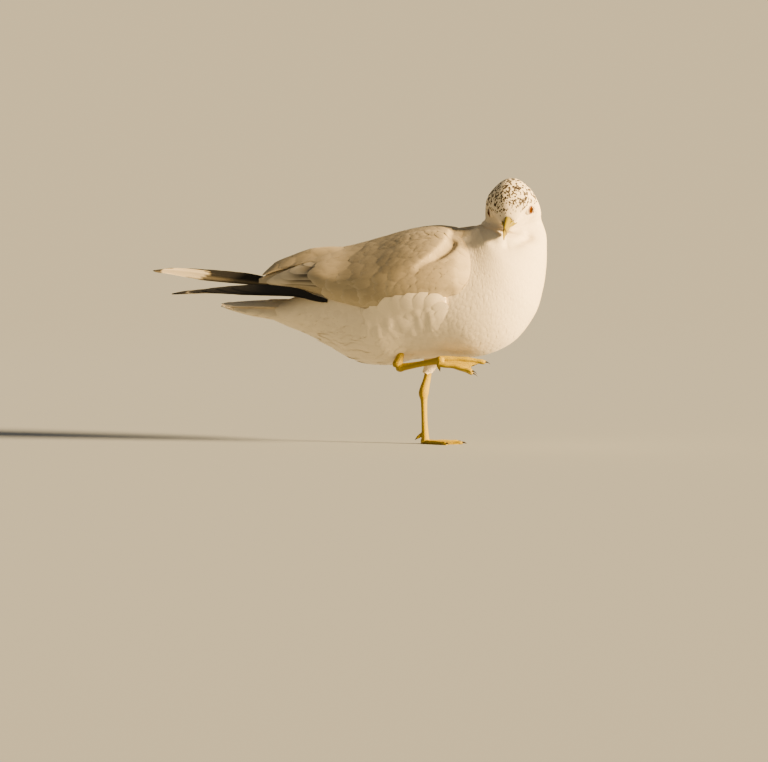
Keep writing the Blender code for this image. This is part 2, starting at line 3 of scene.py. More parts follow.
import bpy
import numpy as np
from bpy.props import FloatProperty, FloatVectorProperty, PointerProperty
from bpy.types import Operator, Panel, PropertyGroup
from mathutils import Matrix, Vector


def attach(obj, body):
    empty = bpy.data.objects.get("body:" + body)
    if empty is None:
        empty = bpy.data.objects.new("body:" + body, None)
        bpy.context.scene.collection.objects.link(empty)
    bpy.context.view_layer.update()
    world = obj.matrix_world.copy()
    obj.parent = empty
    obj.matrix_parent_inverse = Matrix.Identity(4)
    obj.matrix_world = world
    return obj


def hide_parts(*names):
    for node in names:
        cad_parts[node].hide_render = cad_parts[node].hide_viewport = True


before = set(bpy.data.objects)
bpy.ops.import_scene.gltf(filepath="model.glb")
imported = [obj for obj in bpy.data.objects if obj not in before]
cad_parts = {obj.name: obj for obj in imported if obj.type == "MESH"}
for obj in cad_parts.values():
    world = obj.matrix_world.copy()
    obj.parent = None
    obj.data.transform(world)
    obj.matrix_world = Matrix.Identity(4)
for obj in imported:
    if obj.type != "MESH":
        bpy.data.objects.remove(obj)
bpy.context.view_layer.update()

bl_info = {
    "name": "Common gull on one leg",
    "version": (1, 0, 0),
    "blender": (4, 5, 0),
    "location": "3D View > Sidebar > Gull",
    "description": "Skin, feathers, bill, eyes, legs and studio for a standing common gull in winter plumage",
    "category": "Object",
}

MM = 0.001


# ---------------------------------------------------------------- the bird's form, in millimetres

HEAD_AXIS_X = 76.1  # the upright line about which the neck turns
EYE_AHEAD = 6.0  # the eyes lie this far in front of that line
EYE_HEIGHT = 241.0
HEAD_YAW, HEAD_PITCH, HEAD_ROLL = math.radians(-86.5), math.radians(28), math.radians(5)
EYE_SIDE, EYE_RADIUS = 17.4, 6.4
BILL_BASE, BILL_TIP = 16.0, 48.0

# The back's point (x, z), the belly's point (x, z), half width, the middle's y, and the
# twist about the body in degrees.
BODY_STATIONS = [
    (-162, 147.0, -180, 127.5, 19, 0.0, 0),
    (-152, 151.0, -162, 120.0, 26.5, 0.0, 0),
    (-134, 163.0, -140, 112.0, 33, 0.0, 0),
    (-112, 181.0, -116, 101.5, 41, 0.0, 0),
    (-87, 198.0, -90, 87.5, 47.5, 0.0, 0),
    (-57, 208.0, -59, 81.5, 52, 0.0, 0),
    (-24, 215.5, -24, 88.0, 54, 0.0, 0),
    (4, 219.5, 10, 89.5, 54, 0.0, 0),
    (24, 222.5, 46, 92.0, 53, 0.0, 8),
    (34, 224.0, 78, 107.0, 51, 0.0, 18),
    (39, 225.0, 99.3, 134.0, 48, 0.0, 30),
    (42, 226.2, 107.8, 160.0, 44, 0.0, 43),
    (44, 226.5, 111.2, 182.0, 38.5, 1.0, 57),
    (45, 226.8, 111.6, 201.0, 33, 3.0, 70),
]
COLLAR = ((76.8, 7.5, 222.0), (-4.0, 25.2, 4.7), (32.6, 5.2, -6.0))
# Nape or crown (x, z), throat or chin (x, z), half width.
HEAD_STATIONS = [
    (41.1, 241.0, 94.6, 221.0, 31.5),
    (42.6, 251.5, 94.7, 222.0, 30.5),
    (46.6, 261.0, 94.7, 222.6, 30.0),
    (53.1, 267.9, 94.7, 223.0, 29.5),
    (63.1, 273.2, 94.8, 223.4, 29.3),
    (74.1, 273.9, 94.9, 223.8, 29.0),
    (84.1, 268.9, 95.1, 224.1, 28.5),
    (91.6, 261.0, 95.3, 224.4, 27.5),
    (96.1, 251.5, 95.6, 224.7, 25.5),
    (98.3, 243.0, 96.0, 225.0, 22.5),
    (99.1, 235.5, 96.5, 225.4, 19.5),
]
CROWN_POINT = 0.34  # how much narrower than an ellipse the head is at its crown
# Share of the head's width, by distance in front of the eyes.
FACE_TAPER = ((-25, 1.0), (-10, 0.95), (0, 0.77), (8, 0.58), (14, 0.42), (19, 0.3))
ROLL_STATIONS = 2.5  # the head's roll sets in over this many stations
BODY_ROWS, BODY_COLUMNS = 420, 288

# The folded wing's outer face, front to back: x, then (outward, up) of its top edge, middle and lower edge.
WING_STATIONS = [
    (50, 46.0, 190.0, 49.0, 182.0, 47.0, 174.0),
    (44, 40.0, 203.0, 55.5, 183.0, 52.0, 158.0),
    (28, 28.0, 214.5, 61.0, 187.0, 57.5, 155.0),
    (4, 14.0, 221.0, 62.5, 186.0, 59.5, 148.0),
    (-28, 8.0, 218.5, 62.0, 180.0, 58.0, 141.0),
    (-60, 5.0, 210.0, 57.5, 173.0, 54.5, 141.5),
    (-90, 4.0, 202.0, 50.0, 170.0, 48.5, 146.5),
    (-115, 4.5, 198.0, 43.0, 172.0, 42.5, 153.0),
    (-138, 5.5, 192.5, 34.0, 173.0, 34.0, 158.0),
    (-158, 8.0, 185.5, 26.5, 171.5, 27.0, 160.5),
    (-176, 11.0, 178.0, 20.0, 169.5, 21.0, 162.5),
    (-190, 14.5, 170.5, 16.5, 167.0, 17.0, 164.0),
]
LEFT_LIFT = 6.5  # how much higher the left wing's upper edge rides over the tail
LEFT_LIFT_AT, LEFT_LIFT_SHARE = (-190, -176, -135, -100), (0.3, 1.0, 1.0, 0.0)


def smooth_rows(rows, where):
    """A Catmull-Rom curve through the rows, read at the fractional row numbers in where."""
    rows = np.asarray(rows, float)
    first, last = 2 * rows[0] - rows[1], 2 * rows[-1] - rows[-2]
    padded = np.concatenate([first[None], rows, last[None]])
    low = np.clip(np.floor(where).astype(int), 0, len(rows) - 2)
    t = (np.asarray(where) - low).reshape((-1,) + (1,) * (rows.ndim - 1))
    p0, p1, p2, p3 = (padded[low + k] for k in range(4))
    cubic = (3 * p1 - p0 - 3 * p2 + p3) * t**3
    return 0.5 * (2 * p1 + (p2 - p0) * t + (2 * p0 - 5 * p1 + 4 * p2 - p3) * t**2 + cubic)


def head_matrix():
    """From the head's own frame, X along the bill and the origin midway between the eyes, to the bird's."""
    ahead = Vector((math.cos(HEAD_YAW), math.sin(HEAD_YAW), 0)) * EYE_AHEAD
    place = Vector((HEAD_AXIS_X, 0, EYE_HEIGHT)) + ahead
    turn = Matrix.Rotation(HEAD_YAW, 4, "Z") @ Matrix.Rotation(HEAD_PITCH, 4, "Y")
    return Matrix.Translation(place) @ turn @ Matrix.Rotation(HEAD_ROLL, 4, "X")


HEAD = np.array(head_matrix())


def from_head(points):
    return np.asarray(points, float) @ HEAD[:3, :3].T + HEAD[:3, 3]


def to_head(points):
    return (np.asarray(points, float) - HEAD[:3, 3]) @ HEAD[:3, :3]


def step(low, high, value):
    """A smooth rise from 0 at low to 1 at high."""
    t = np.clip((value - low) / (high - low), 0, 1)
    return t * t * (3 - 2 * t)


def bump(value, width):
    """A bell, 1 at nought, with the given half width."""
    return np.exp(-((value / width) ** 2))


def body_outline(station, angle):
    """An ellipse from the back's point to the belly's, its start turned by the station's twist."""
    dx, dz, vx, vz, half, side, twist = station
    turned = angle + math.radians(twist)
    middle = np.array([(dx + vx) / 2, side, (dz + vz) / 2])
    up = np.array([(dx - vx) / 2, 0, (dz - vz) / 2])
    return middle + np.outer(np.cos(turned), up) + np.outer(np.sin(turned), [0, half, 0])


def head_outline(station, angle, share):
    """An egg from the crown's point to the chin's, narrowed towards the bill, then turned with the head."""
    dx, dz, vx, vz, half = station
    along = np.cos(angle)
    x = (dx + vx) / 2 + along * (dx - vx) / 2 - HEAD_AXIS_X - EYE_AHEAD
    z = (dz + vz) / 2 + along * (dz - vz) / 2 - EYE_HEIGHT
    ahead = math.cos(HEAD_PITCH) * x - math.sin(HEAD_PITCH) * z
    above = math.sin(HEAD_PITCH) * x + math.cos(HEAD_PITCH) * z
    taper = np.interp(ahead, *zip(*FACE_TAPER))
    side = half * np.sin(angle) * (1 - CROWN_POINT * along) * taper
    roll = HEAD_ROLL * (share - 1)
    across = math.cos(roll) * side - math.sin(roll) * above
    above = math.sin(roll) * side + math.cos(roll) * above
    return from_head(np.stack([ahead, across, above], 1))


def body_grid(along, around):
    """The whole body from tail end to bill, as rings through the stations' outlines."""
    angle = np.linspace(0, 2 * math.pi, around, endpoint=False)
    middle, nape, cheek = (np.array(v) for v in COLLAR)
    collar = middle + np.outer(np.cos(angle), nape) + np.outer(np.sin(angle), cheek)
    lower = [body_outline(s, angle) for s in BODY_STATIONS]
    shares = np.clip(np.arange(len(HEAD_STATIONS)) / ROLL_STATIONS, 0, 1)
    upper = [head_outline(s, angle, share) for s, share in zip(HEAD_STATIONS, shares)]
    outlines = np.array(lower + [collar] + upper)
    return smooth_rows(outlines, np.linspace(0, len(outlines) - 1, along))


def wing_grid(side, along, across):
    """Arcs through each wing station's three points, front to back, top edge to lower edge."""
    rows = smooth_rows(WING_STATIONS, np.linspace(0, len(WING_STATIONS) - 1, along))
    if side > 0:
        rows[:, 2] += LEFT_LIFT * np.interp(rows[:, 0], LEFT_LIFT_AT, LEFT_LIFT_SHARE)
    t = np.linspace(0, 1, across)[None, :, None]
    top, mid, low = (rows[:, None, k : k + 2] for k in (1, 3, 5))
    bend = 2 * mid - (top + low) / 2
    arc = (1 - t) ** 2 * top + 2 * t * (1 - t) * bend + t**2 * low
    x = np.broadcast_to(rows[:, None, :1], (along, across, 1))
    return np.concatenate([x, side * arc[..., :1], arc[..., 1:]], 2)


# Steps of an even scatter over a square: 1 / p and 1 / p**2, where p**3 = p + 1.
LATTICE_STEPS = (0.7548776662466927, 0.5698402909980532)
ROOT_SHAKE = 0.35  # how far a root strays from the lattice, as a share of its spacing
IN_LAST_CELL = 1.0001  # a table's end, drawn in just enough to read between its last entries


class Sheet:
    """A grid of points over a surface, read anywhere between them: place, outward normal and step lengths."""

    def __init__(self, grid, wraps, flip=False):
        self.wraps = wraps
        self.rows, self.columns = grid.shape[:2]
        self.grid = grid
        self.measure(flip)

    def measure(self, flip=False):
        """Finds the steps and normals of the grid; flip turns the normals to the other side."""
        g = self.grid
        down = np.gradient(g, axis=0)
        if self.wraps:
            across = (np.roll(g, -1, 1) - np.roll(g, 1, 1)) / 2
        else:
            across = np.gradient(g, axis=1)
        normal = np.cross(down, across) * (-1 if flip else 1)
        size = np.linalg.norm(normal, axis=2)
        self.flip = flip
        self.area = size
        self.normal = normal / np.maximum(size, 1e-9)[..., None]
        self.steps = np.stack([np.linalg.norm(down, axis=2), np.linalg.norm(across, axis=2)], 2)

    def swell(self, heights):
        """Moves each grid point along its normal by its height."""
        self.grid = self.grid + self.normal * heights[..., None]
        self.measure(self.flip)

    def read(self, table, u, v):
        """A table's value between its four nearest entries; u and v count grid rows and columns."""
        u = np.clip(u, 0, self.rows - IN_LAST_CELL)
        v = np.mod(v, self.columns) if self.wraps else np.clip(v, 0, self.columns - IN_LAST_CELL)
        i, j = u.astype(int), v.astype(int)
        j = np.minimum(j, self.columns - 1)
        k = (j + 1) % self.columns
        a, b = (u - i)[..., None], (v - j)[..., None]
        table = table if table.ndim == 3 else table[..., None]
        low = table[i, j] * (1 - b) + table[i, k] * b
        high = table[i + 1, j] * (1 - b) + table[i + 1, k] * b
        return low * (1 - a) + high * a

    def scatter(self, spacing, seed):
        """Roots spread so that each has a square of its spacing, as an even lattice over the surface, a
        little shaken. A spacing of nought is bare."""
        density = np.where(spacing > 0, self.area / np.maximum(spacing, 0.1) ** 2, 0)
        count = int(density.sum())
        rows = np.concatenate([[0], np.cumsum(density.sum(1))])
        order = np.arange(count)
        first, second = ((0.5 + order * stride) % 1 for stride in LATTICE_STEPS)
        u = np.interp(first * rows[-1], rows, np.arange(self.rows + 1))
        i = np.clip(u.astype(int), 0, self.rows - 1)
        share = np.cumsum(density, 1) / np.maximum(density.sum(1), 1e-9)[:, None]
        flat = (share + np.arange(self.rows)[:, None]).ravel()
        found = np.searchsorted(flat, i + second * 0.999999)
        j = np.clip(found - i * self.columns, 0, self.columns - 1)
        rng = np.random.default_rng(seed)
        cell = j.astype(float)
        shake = rng.uniform(-ROOT_SHAKE, ROOT_SHAKE, (2, count)) * self.read(spacing, u, cell)[:, 0]
        length = self.read(self.steps, u, cell)
        return u + shake[0] / length[:, 0], j + 0.5 + shake[1] / length[:, 1]


# ---------------------------------------------------------------- meshes


def add_object(name, data):
    """An object at the origin, linked to the scene."""
    obj = bpy.data.objects.new(name, data)
    bpy.context.scene.collection.objects.link(obj)
    return obj


def show(name, mesh, material):
    """An object of the mesh, smooth and in the material."""
    mesh.materials.append(material)
    mesh.shade_smooth()
    return add_object(name, mesh)


def dress(obj, slot, *nodes):
    """The object rides with the bird and stands for the named solids. The slot is not used."""
    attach(obj, "root")
    if nodes:
        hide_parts(*nodes)
    return obj


def add_mesh(name, points, faces, material):
    """An object from points in millimetres and lists of point numbers."""
    mesh = bpy.data.meshes.new(name)
    mesh.from_pydata((np.asarray(points, float).reshape(-1, 3) * MM).tolist(), [], faces)
    return show(name, mesh, material)


def add_quads(name, points, quads, material):
    """As add_mesh, for large arrays of four-sided faces; edges past 60 degrees stay sharp."""
    mesh = bpy.data.meshes.new(name)
    mesh.vertices.add(len(points))
    mesh.vertices.foreach_set("co", (np.asarray(points, np.float32) * MM).ravel())
    mesh.loops.add(quads.size)
    mesh.loops.foreach_set("vertex_index", quads.ravel().astype(np.int32))
    mesh.polygons.add(len(quads))
    mesh.polygons.foreach_set("loop_start", np.arange(0, quads.size, 4, dtype=np.int32))
    mesh.update(calc_edges=True)
    obj = show(name, mesh, material)
    mesh.set_sharp_from_angle(angle=math.radians(60))
    return obj


def add_values(obj, name, values):
    """A number for each of the mesh's points."""
    layer = obj.data.attributes.new(name, "FLOAT", "POINT")
    layer.data.foreach_set("value", np.asarray(values, np.float32).ravel())


def add_levels(obj, **levels):
    """For each name, the same number at all of the mesh's points."""
    for name, level in levels.items():
        add_values(obj, name, np.full(len(obj.data.vertices), level))


def grid_faces(index):
    """Four-sided faces over a grid of point numbers."""
    return np.stack([index[:-1, :-1], index[:-1, 1:], index[1:, 1:], index[1:, :-1]], -1).reshape(-1, 4)


def ring_faces(rings, around):
    """Four-sided faces between neighbouring closed rings of points."""
    index = np.arange(rings * around).reshape(rings, around)
    return grid_faces(np.concatenate([index, index[:, :1]], 1))


def add_loft(name, rings, material):
    """A closed solid through rings of points, each end closed by a fan to its middle."""
    count, around = rings.shape[:2]
    points = np.concatenate([rings.reshape(-1, 3), rings[0].mean(0)[None], rings[-1].mean(0)[None]])
    k = np.arange(around)
    start = np.stack([np.roll(k, -1), k, np.full(around, count * around)], 1)
    end = np.stack([k, np.roll(k, -1), np.full(around, count * around + 1)], 1)
    end[:, :2] += (count - 1) * around
    faces = ring_faces(count, around).tolist() + start.tolist() + end.tolist()
    return face_outwards(add_mesh(name, points, faces, material))


def mesh_points(obj):
    """The mesh's points in millimetres."""
    points = np.empty(len(obj.data.vertices) * 3, np.float32)
    obj.data.vertices.foreach_get("co", points)
    return points.reshape(-1, 3).astype(float) / MM


def face_outwards(obj):
    """Turns all faces over if the closed mesh encloses a negative volume."""
    mesh, points = obj.data, mesh_points(obj)
    mesh.calc_loop_triangles()
    corners = np.empty(len(mesh.loop_triangles) * 3, np.int32)
    mesh.loop_triangles.foreach_get("vertices", corners)
    a, b, c = (points[corners.reshape(-1, 3)[:, k]] for k in range(3))
    if np.einsum("ij,ij->i", a, np.cross(b, c)).sum() < 0:
        mesh.flip_normals()
    return obj


def remeshed(name, parts, voxel, smoothing, material):
    """Several closed solids fused into one skin of small even faces, then eased; the parts are removed."""
    select(parts)
    if len(parts) > 1:
        bpy.ops.object.join()
    joined = bpy.context.view_layer.objects.active
    fuse = joined.modifiers.new("fuse", "REMESH")
    fuse.mode = "VOXEL"
    fuse.voxel_size = voxel * MM
    ease = joined.modifiers.new("ease", "SMOOTH")
    ease.factor = 0.5
    ease.iterations = smoothing
    shape = bpy.data.meshes.new_from_object(joined.evaluated_get(bpy.context.evaluated_depsgraph_get()))
    bpy.data.objects.remove(joined)
    shape.name = name
    shape.materials.clear()
    return show(name, shape, material)


def select(objects):
    """Only these objects are selected, the first of them active."""
    bpy.ops.object.select_all(action="DESELECT")
    for obj in objects:
        obj.select_set(True)
    bpy.context.view_layer.objects.active = objects[0]


def join(name, objects, slot, *nodes):
    """One object of several; it rides with the bird and stands for the named solids."""
    select(objects)
    if len(objects) > 1:
        bpy.ops.object.join()
    obj = objects[0]
    obj.name = obj.data.name = name
    return dress(obj, slot, *nodes)


# ---------------------------------------------------------------- feathers

ROW_CROWDING = 1.35  # how much closer a feather's rows lie towards its tip
QUILL_WIDTH = 0.25  # share of the full width at the root
ROUNDS_FROM = 0.62  # share of the length past which the vane rounds off
RISE_EASE = 2.4  # how early a feather reaches its full height
SHORTEST_STEP = 0.05  # keeps a walk finite where a sheet's grid draws together
BAKE_PATCH = 0.003  # each feather's length on the bake map


def leaf_faces(rows, columns):
    """The faces of one feather: an upper sheet, and a lower one that shares its rim."""
    top = np.arange(rows * columns).reshape(rows, columns)
    under = top.copy()
    under[1:-1, 1:-1] = rows * columns + np.arange((rows - 2) * (columns - 2)).reshape(rows - 2, columns - 2)
    return np.concatenate([grid_faces(top), grid_faces(under)[:, ::-1]])


def grow(sheet, roots, length, width, heading, low, high, rows=6, columns=5, tip=0.35, blunt=0.16, thick=0.25,
         camber=0.02, body_from=0.22):
    """Feathers on a sheet, as points and normals by (feather, row, column) with the rows' shares s and the
    columns' shares a. Each walks over the surface from its root for its length, along falling u turned by its
    heading, so that it lies along the form. It widens from the quill up to body_from of its length and rounds
    off to the share tip, its sides end blunt of the tip, its height over the surface rises from low to high
    and levels out, and its vane is arched by camber."""
    u, v = (np.array(r, float) for r in roots)
    count = len(u)
    length, width, heading, low, high = (
        np.broadcast_to(np.asarray(x, float), count) for x in (length, width, heading, low, high)
    )
    ahead, aside = np.cos(heading)[:, None], np.sin(heading)[:, None]
    s = 1 - (1 - np.linspace(0, 1, rows)) ** ROW_CROWDING
    a = np.linspace(-1, 1, columns)
    full = np.sqrt(np.clip(s / body_from, 0, 1)) * (1 - QUILL_WIDTH) + QUILL_WIDTH
    rounding = np.clip((s - ROUNDS_FROM) / (1 - ROUNDS_FROM), 0, 1)
    full = full * np.sqrt(np.clip(1 - (1 - tip**2) * rounding**2, 0, 1))
    points = np.empty((count, rows, columns, 3))
    normals = np.empty_like(points)
    for k in range(rows):
        for _ in range(2 if k else 0):
            steps = np.maximum(sheet.read(sheet.steps, u, v), SHORTEST_STEP)
            walk = length * (s[k] - s[k - 1]) / 2
            u = u - walk * ahead[:, 0] / steps[:, 0]
            v = v + walk * aside[:, 0] / steps[:, 1]
        steps = np.maximum(sheet.read(sheet.steps, u, v), SHORTEST_STEP)
        out = a[None] * (width * full[k] / 2)[:, None]
        back = (blunt * s[k] ** 3) * np.abs(a[None]) ** 2.2 * length[:, None]
        uu = u[:, None] + (back * ahead + out * aside) / steps[:, :1]
        vv = v[:, None] + (out * ahead - back * aside) / steps[:, 1:]
        normal = sheet.read(sheet.normal, uu, vv)
        rise = (low + (high - low) * (1 - (1 - s[k]) ** RISE_EASE))[:, None]
        rise = rise + camber * width[:, None] * full[k] * (1 - a[None] ** 2)
        points[:, k] = sheet.read(sheet.grid, uu, vv) + normal * rise[..., None]
        normals[:, k] = normal
    return dict(points=points, normals=normals, s=s, a=a, thick=thick, u=roots[0], v=roots[1], sheet=sheet,
                length=length, full=full)


def feather_mesh(name, feathers, values):
    """Joins feathers into one mesh of closed vanes. values holds, by name, a table over (feather, row,
    column). The bake map puts each vane as a small patch at its root's place on the sheet."""
    points, normals = feathers["points"], feathers["normals"]
    count, rows, columns = points.shape[:3]
    inner = points[:, 1:-1, 1:-1] - normals[:, 1:-1, 1:-1] * feathers["thick"]
    flat = np.concatenate([points.reshape(count, -1, 3), inner.reshape(count, -1, 3)], 1)
    single = leaf_faces(rows, columns)
    if feathers["sheet"].flip:
        single = single[:, ::-1]
    per = flat.shape[1]
    quads = (single[None] + np.arange(count)[:, None, None] * per).reshape(-1, 4)
    obj = add_quads(name, flat.reshape(-1, 3), quads, plumage_material())
    shape = (count, rows, columns)
    shares = {"along": feathers["s"][None, :, None], "across": feathers["a"][None, None, :]}
    for key, table in {**shares, **values}.items():
        table = np.broadcast_to(table, shape)
        both = np.concatenate([table.reshape(count, -1), table[:, 1:-1, 1:-1].reshape(count, -1)], 1)
        add_values(obj, key, both)
    add_bake_map(obj, feathers, quads, per)
    return obj


def add_bake_map(obj, feathers, quads, per):
    """Roots spread over the map by the sheet's rows and columns, each with a patch of its vane's own."""
    def spread(x):
        low, high = x.min(), x.max()
        return 0.04 + 0.92 * (x - low) / max(high - low, 1e-6)

    count = len(feathers["u"])
    s, a = np.meshgrid(feathers["s"], feathers["a"], indexing="ij")
    centre = np.stack([spread(feathers["u"]), spread(np.mod(feathers["v"], feathers["sheet"].columns))], 1)
    local = np.stack([s, a * np.maximum(feathers["full"], 0.3)[:, None] / 2], 2) * BAKE_PATCH
    both = np.concatenate([local.reshape(-1, 2), local[1:-1, 1:-1].reshape(-1, 2)])
    place = (centre[:, None] + both[None]).reshape(count * per, 2)
    layer = obj.data.uv_layers.new(name="OFBake")
    layer.data.foreach_set("uv", place[quads.ravel()].astype(np.float32).ravel())


# ---------------------------------------------------------------- materials


def new_material(name, colour=(0.5, 0.5, 0.5), roughness=0.6):
    """A material with its node tree and its principled shader."""
    mat = bpy.data.materials.new(name)
    mat.use_nodes = True
    shader = mat.node_tree.nodes["Principled BSDF"]
    shader.inputs["Base Color"].default_value = (*colour, 1)
    shader.inputs["Roughness"].default_value = roughness
    return mat, mat.node_tree, shader


def node(tree, kind, links=None, **settings):
    """Adds a node, sets its properties and its unlinked inputs, and links the inputs given as sockets."""
    made = tree.nodes.new(kind)
    for key, value in settings.items():
        setattr(made, key, value)
    for key, value in (links or {}).items():
        if isinstance(value, bpy.types.NodeSocket):
            tree.links.new(value, made.inputs[key])
        else:
            made.inputs[key].default_value = value
    return made


def attribute(tree, name):
    return node(tree, "ShaderNodeAttribute", attribute_name=name).outputs["Fac"]


def math_node(tree, operation, first, second=0.0, third=0.0):
    links = {0: first, 1: second, 2: third}
    return node(tree, "ShaderNodeMath", links, operation=operation).outputs[0]


def noise(tree, scale, detail=2.0, **links):
    return node(tree, "ShaderNodeTexNoise", {"Scale": scale, "Detail": detail, **links}).outputs


def tone(tree, level):
    """The grey of a level."""
    return node(tree, "ShaderNodeCombineColor", {"Red": level, "Green": level, "Blue": level}).outputs[0]


def roughen(tree, shader, height, strength, distance):
    """Bumps the shader's surface by the height; the distance is in metres."""
    lift = node(tree, "ShaderNodeBump", {"Height": height, "Strength": strength, "Distance": distance})
    tree.links.new(lift.outputs[0], shader.inputs["Normal"])


def ramp(tree, value, *stops):
    """Colours by a value, between stops of (place, colour)."""
    made = node(tree, "ShaderNodeValToRGB", {"Fac": value})
    ready = made.color_ramp.elements
    for stop, (place, _) in zip(ready, stops):
        stop.position = place
    for place, _ in stops[2:]:
        ready.new(place)
    for stop, (_, colour) in zip(ready, stops):
        stop.color = colour4(colour)
    return made.outputs[0]


def mix(tree, share, first, second, blend="MIX"):
    made = node(tree, "ShaderNodeMix", {"Factor": share}, data_type="RGBA", blend_type=blend)
    for socket, value in ((made.inputs[6], first), (made.inputs[7], second)):
        if isinstance(value, bpy.types.NodeSocket):
            tree.links.new(value, socket)
        else:
            socket.default_value = value
    return made.outputs[2]


def colour4(value):
    return (*value, 1.0)


VANE_COLOURS = ("White", "Grey", "Brown", "Black")


def vane_group():
    """Colours a vane by its masks (grey, brown, black), varies it from feather to feather, darkens its hidden
    root as painted shade, and gives the height of its barbs: fine streaks that run out and back from the
    shaft."""
    group = bpy.data.node_groups.new("vane", "ShaderNodeTree")
    for word in VANE_COLOURS:
        group.interface.new_socket(word, in_out="INPUT", socket_type="NodeSocketColor")
    group.interface.new_socket("Color", in_out="OUTPUT", socket_type="NodeSocketColor")
    group.interface.new_socket("Height", in_out="OUTPUT", socket_type="NodeSocketFloat")
    given = group.nodes.new("NodeGroupInput").outputs
    made = group.nodes.new("NodeGroupOutput").inputs
    vary, along, across = (attribute(group, name) for name in ("vary", "along", "across"))
    colour = given["White"]
    for word in VANE_COLOURS[1:]:
        colour = mix(group, attribute(group, word.lower()), colour, given[word])
    spread = math_node(group, "MULTIPLY_ADD", attribute(group, "grey"), 0.15, 0.07)
    level = math_node(group, "MULTIPLY_ADD", vary, spread, 0.93)
    # painted shade: each vane darkens towards its root, where the feathers lying over it would shade it
    root = node(group, "ShaderNodeMapRange", {"Value": along, "From Max": 0.45, "To Min": 0.93}).outputs[0]
    level = math_node(group, "MULTIPLY", level, root)
    group.links.new(mix(group, 1.0, colour, tone(group, level), "MULTIPLY"), made["Color"])
    slant = math_node(group, "MULTIPLY_ADD", math_node(group, "ABSOLUTE", across), 0.35, along)
    barbs = node(group, "ShaderNodeCombineXYZ", {"X": math_node(group, "MULTIPLY", across, 9.0),
                                                 "Y": math_node(group, "MULTIPLY", slant, 2.2),
                                                 "Z": math_node(group, "MULTIPLY", vary, 60.0)})
    group.links.new(noise(group, 1.6, 3.0, Vector=barbs.outputs[0])["Fac"], made["Height"])
    return group


def plumage_material():
    """The one feather material: the vane group's colours and barbs, with a soft sheen."""
    found = bpy.data.materials.get("plumage")
    if found:
        return found
    mat, tree, shader = new_material("plumage", roughness=0.8)
    vane = node(tree, "ShaderNodeGroup", node_tree=vane_group())
    for word in VANE_COLOURS:
        vane.inputs[word].default_value = colour4(getattr(bpy.context.scene.gull_colours, word.lower()))
    tree.links.new(vane.outputs["Color"], shader.inputs["Base Color"])
    roughen(tree, shader, vane.outputs["Height"], 0.3, 0.0004)
    shader.inputs["Sheen Weight"].default_value = 0.12
    shader.inputs["Sheen Roughness"].default_value = 0.5
    shader.inputs["Specular IOR Level"].default_value = 0.25
    return mat


# ---------------------------------------------------------------- the body's skin and coat


# Where the jaw folds over the neck, in the head's frame, on its left side from the throat backwards.
JAW_FOLD = [(38, 0, -18.5), (34, 7.5, -20.5), (25, 12.5, -23.5), (17, 16, -24)]
JAW_DEPTH, JAW_SWELL, JAW_WIDTH = 6.2, 2.4, 5.5
JAW_ABOVE = (1.5, 0, 7.5)  # from the fold to the swelling over it
# Hollows round and before the eye, the brow and the cheek: height, place in the head's frame, half width.
FACE_BELLS = (
    (-1.7, (2.5, 23, 0), 6.5),
    (-1.0, (10, 15, 0), 5.5),
    (1.1, (4, 18, 8.5), 5.0),
    (1.3, (-3, 22, -10), 8.0),
)
CHEEK_FOLD, CHEEK_FOLD_NORMAL, CHEEK_FOLD_DEPTH = (9.0, 13.0, -10.0), (0.2, -0.1, 1.0), 1.5
CHEEK_FOLD_MIDDLE, CHEEK_FOLD_REACH = (3, 17, -10), 9.0


def head_mirrored(points):
    """Points in the head's frame, those on its right side moved over to the left."""
    p = to_head(points)
    p[..., 1] = np.abs(p[..., 1])
    return p


def distance(points, place):
    return np.linalg.norm(points - place, axis=-1)


def face_form(points):
    """Heights for the face: its bells, a fold behind the mouth's corner, and the jaw's fold over the neck."""
    p = head_mirrored(points)
    height = sum(tall * bump(distance(p, place), width) for tall, place, width in FACE_BELLS)
    away = (p - np.array(CHEEK_FOLD)) @ (np.array(CHEEK_FOLD_NORMAL) / np.linalg.norm(CHEEK_FOLD_NORMAL))
    near = bump(distance(p, CHEEK_FOLD_MIDDLE), CHEEK_FOLD_REACH)
    height -= CHEEK_FOLD_DEPTH * bump(away, 1.5) * near
    jaw = smooth_rows(JAW_FOLD, np.linspace(0, len(JAW_FOLD) - 1, 25))
    gap = np.min([distance(p, place) for place in jaw], axis=0)
    over = np.min([distance(p, place + JAW_ABOVE) for place in jaw], axis=0)
    return height - JAW_DEPTH * bump(gap, JAW_WIDTH) + JAW_SWELL * bump(over, JAW_WIDTH)


def make_body_sheet():
    sheet = Sheet(body_grid(BODY_ROWS, BODY_COLUMNS), wraps=True)
    sheet.swell(face_form(sheet.grid))
    return sheet


BODY = make_body_sheet()
EYE_POLE = np.array([1.6, EYE_SIDE + 6.1, 0.3])  # the middle of the eye's opening, on either side
BILL_ROOT = from_head([20.0, 0.0, -3.0])


def eye_distance(points):
    return distance(head_mirrored(points), EYE_POLE)


def mantle_share(points):
    """How grey the back is: full between the wings, fading to white before the neck and behind the wings."""
    x, y, z = np.moveaxis(points, -1, 0)
    wave = 3 * np.sin(y / 6) + 2 * np.sin(y / 2.3 + 1)
    return step(43, 32, x + wave) * step(-128, -116, x) * step(44, 38, np.abs(y)) * step(165, 180, z)


def speckle_share(points):
    """The share of feathers with a dark spot: most on the crown, fewer to the brow, nape and neck's side."""
    p = to_head(points)
    crown = step(1.0, 9.0, p[..., 2] + 0.10 * p[..., 0]) * step(22, 12, p[..., 0])
    crown = crown * step(4.5, 8.5, eye_distance(points))
    nape = 0.22 * step(-6, -20, p[..., 0]) * step(-34, -10, p[..., 2])
    return np.clip(crown + nape * (1 - crown), 0, 1) * step(150, 190, points[..., 2])


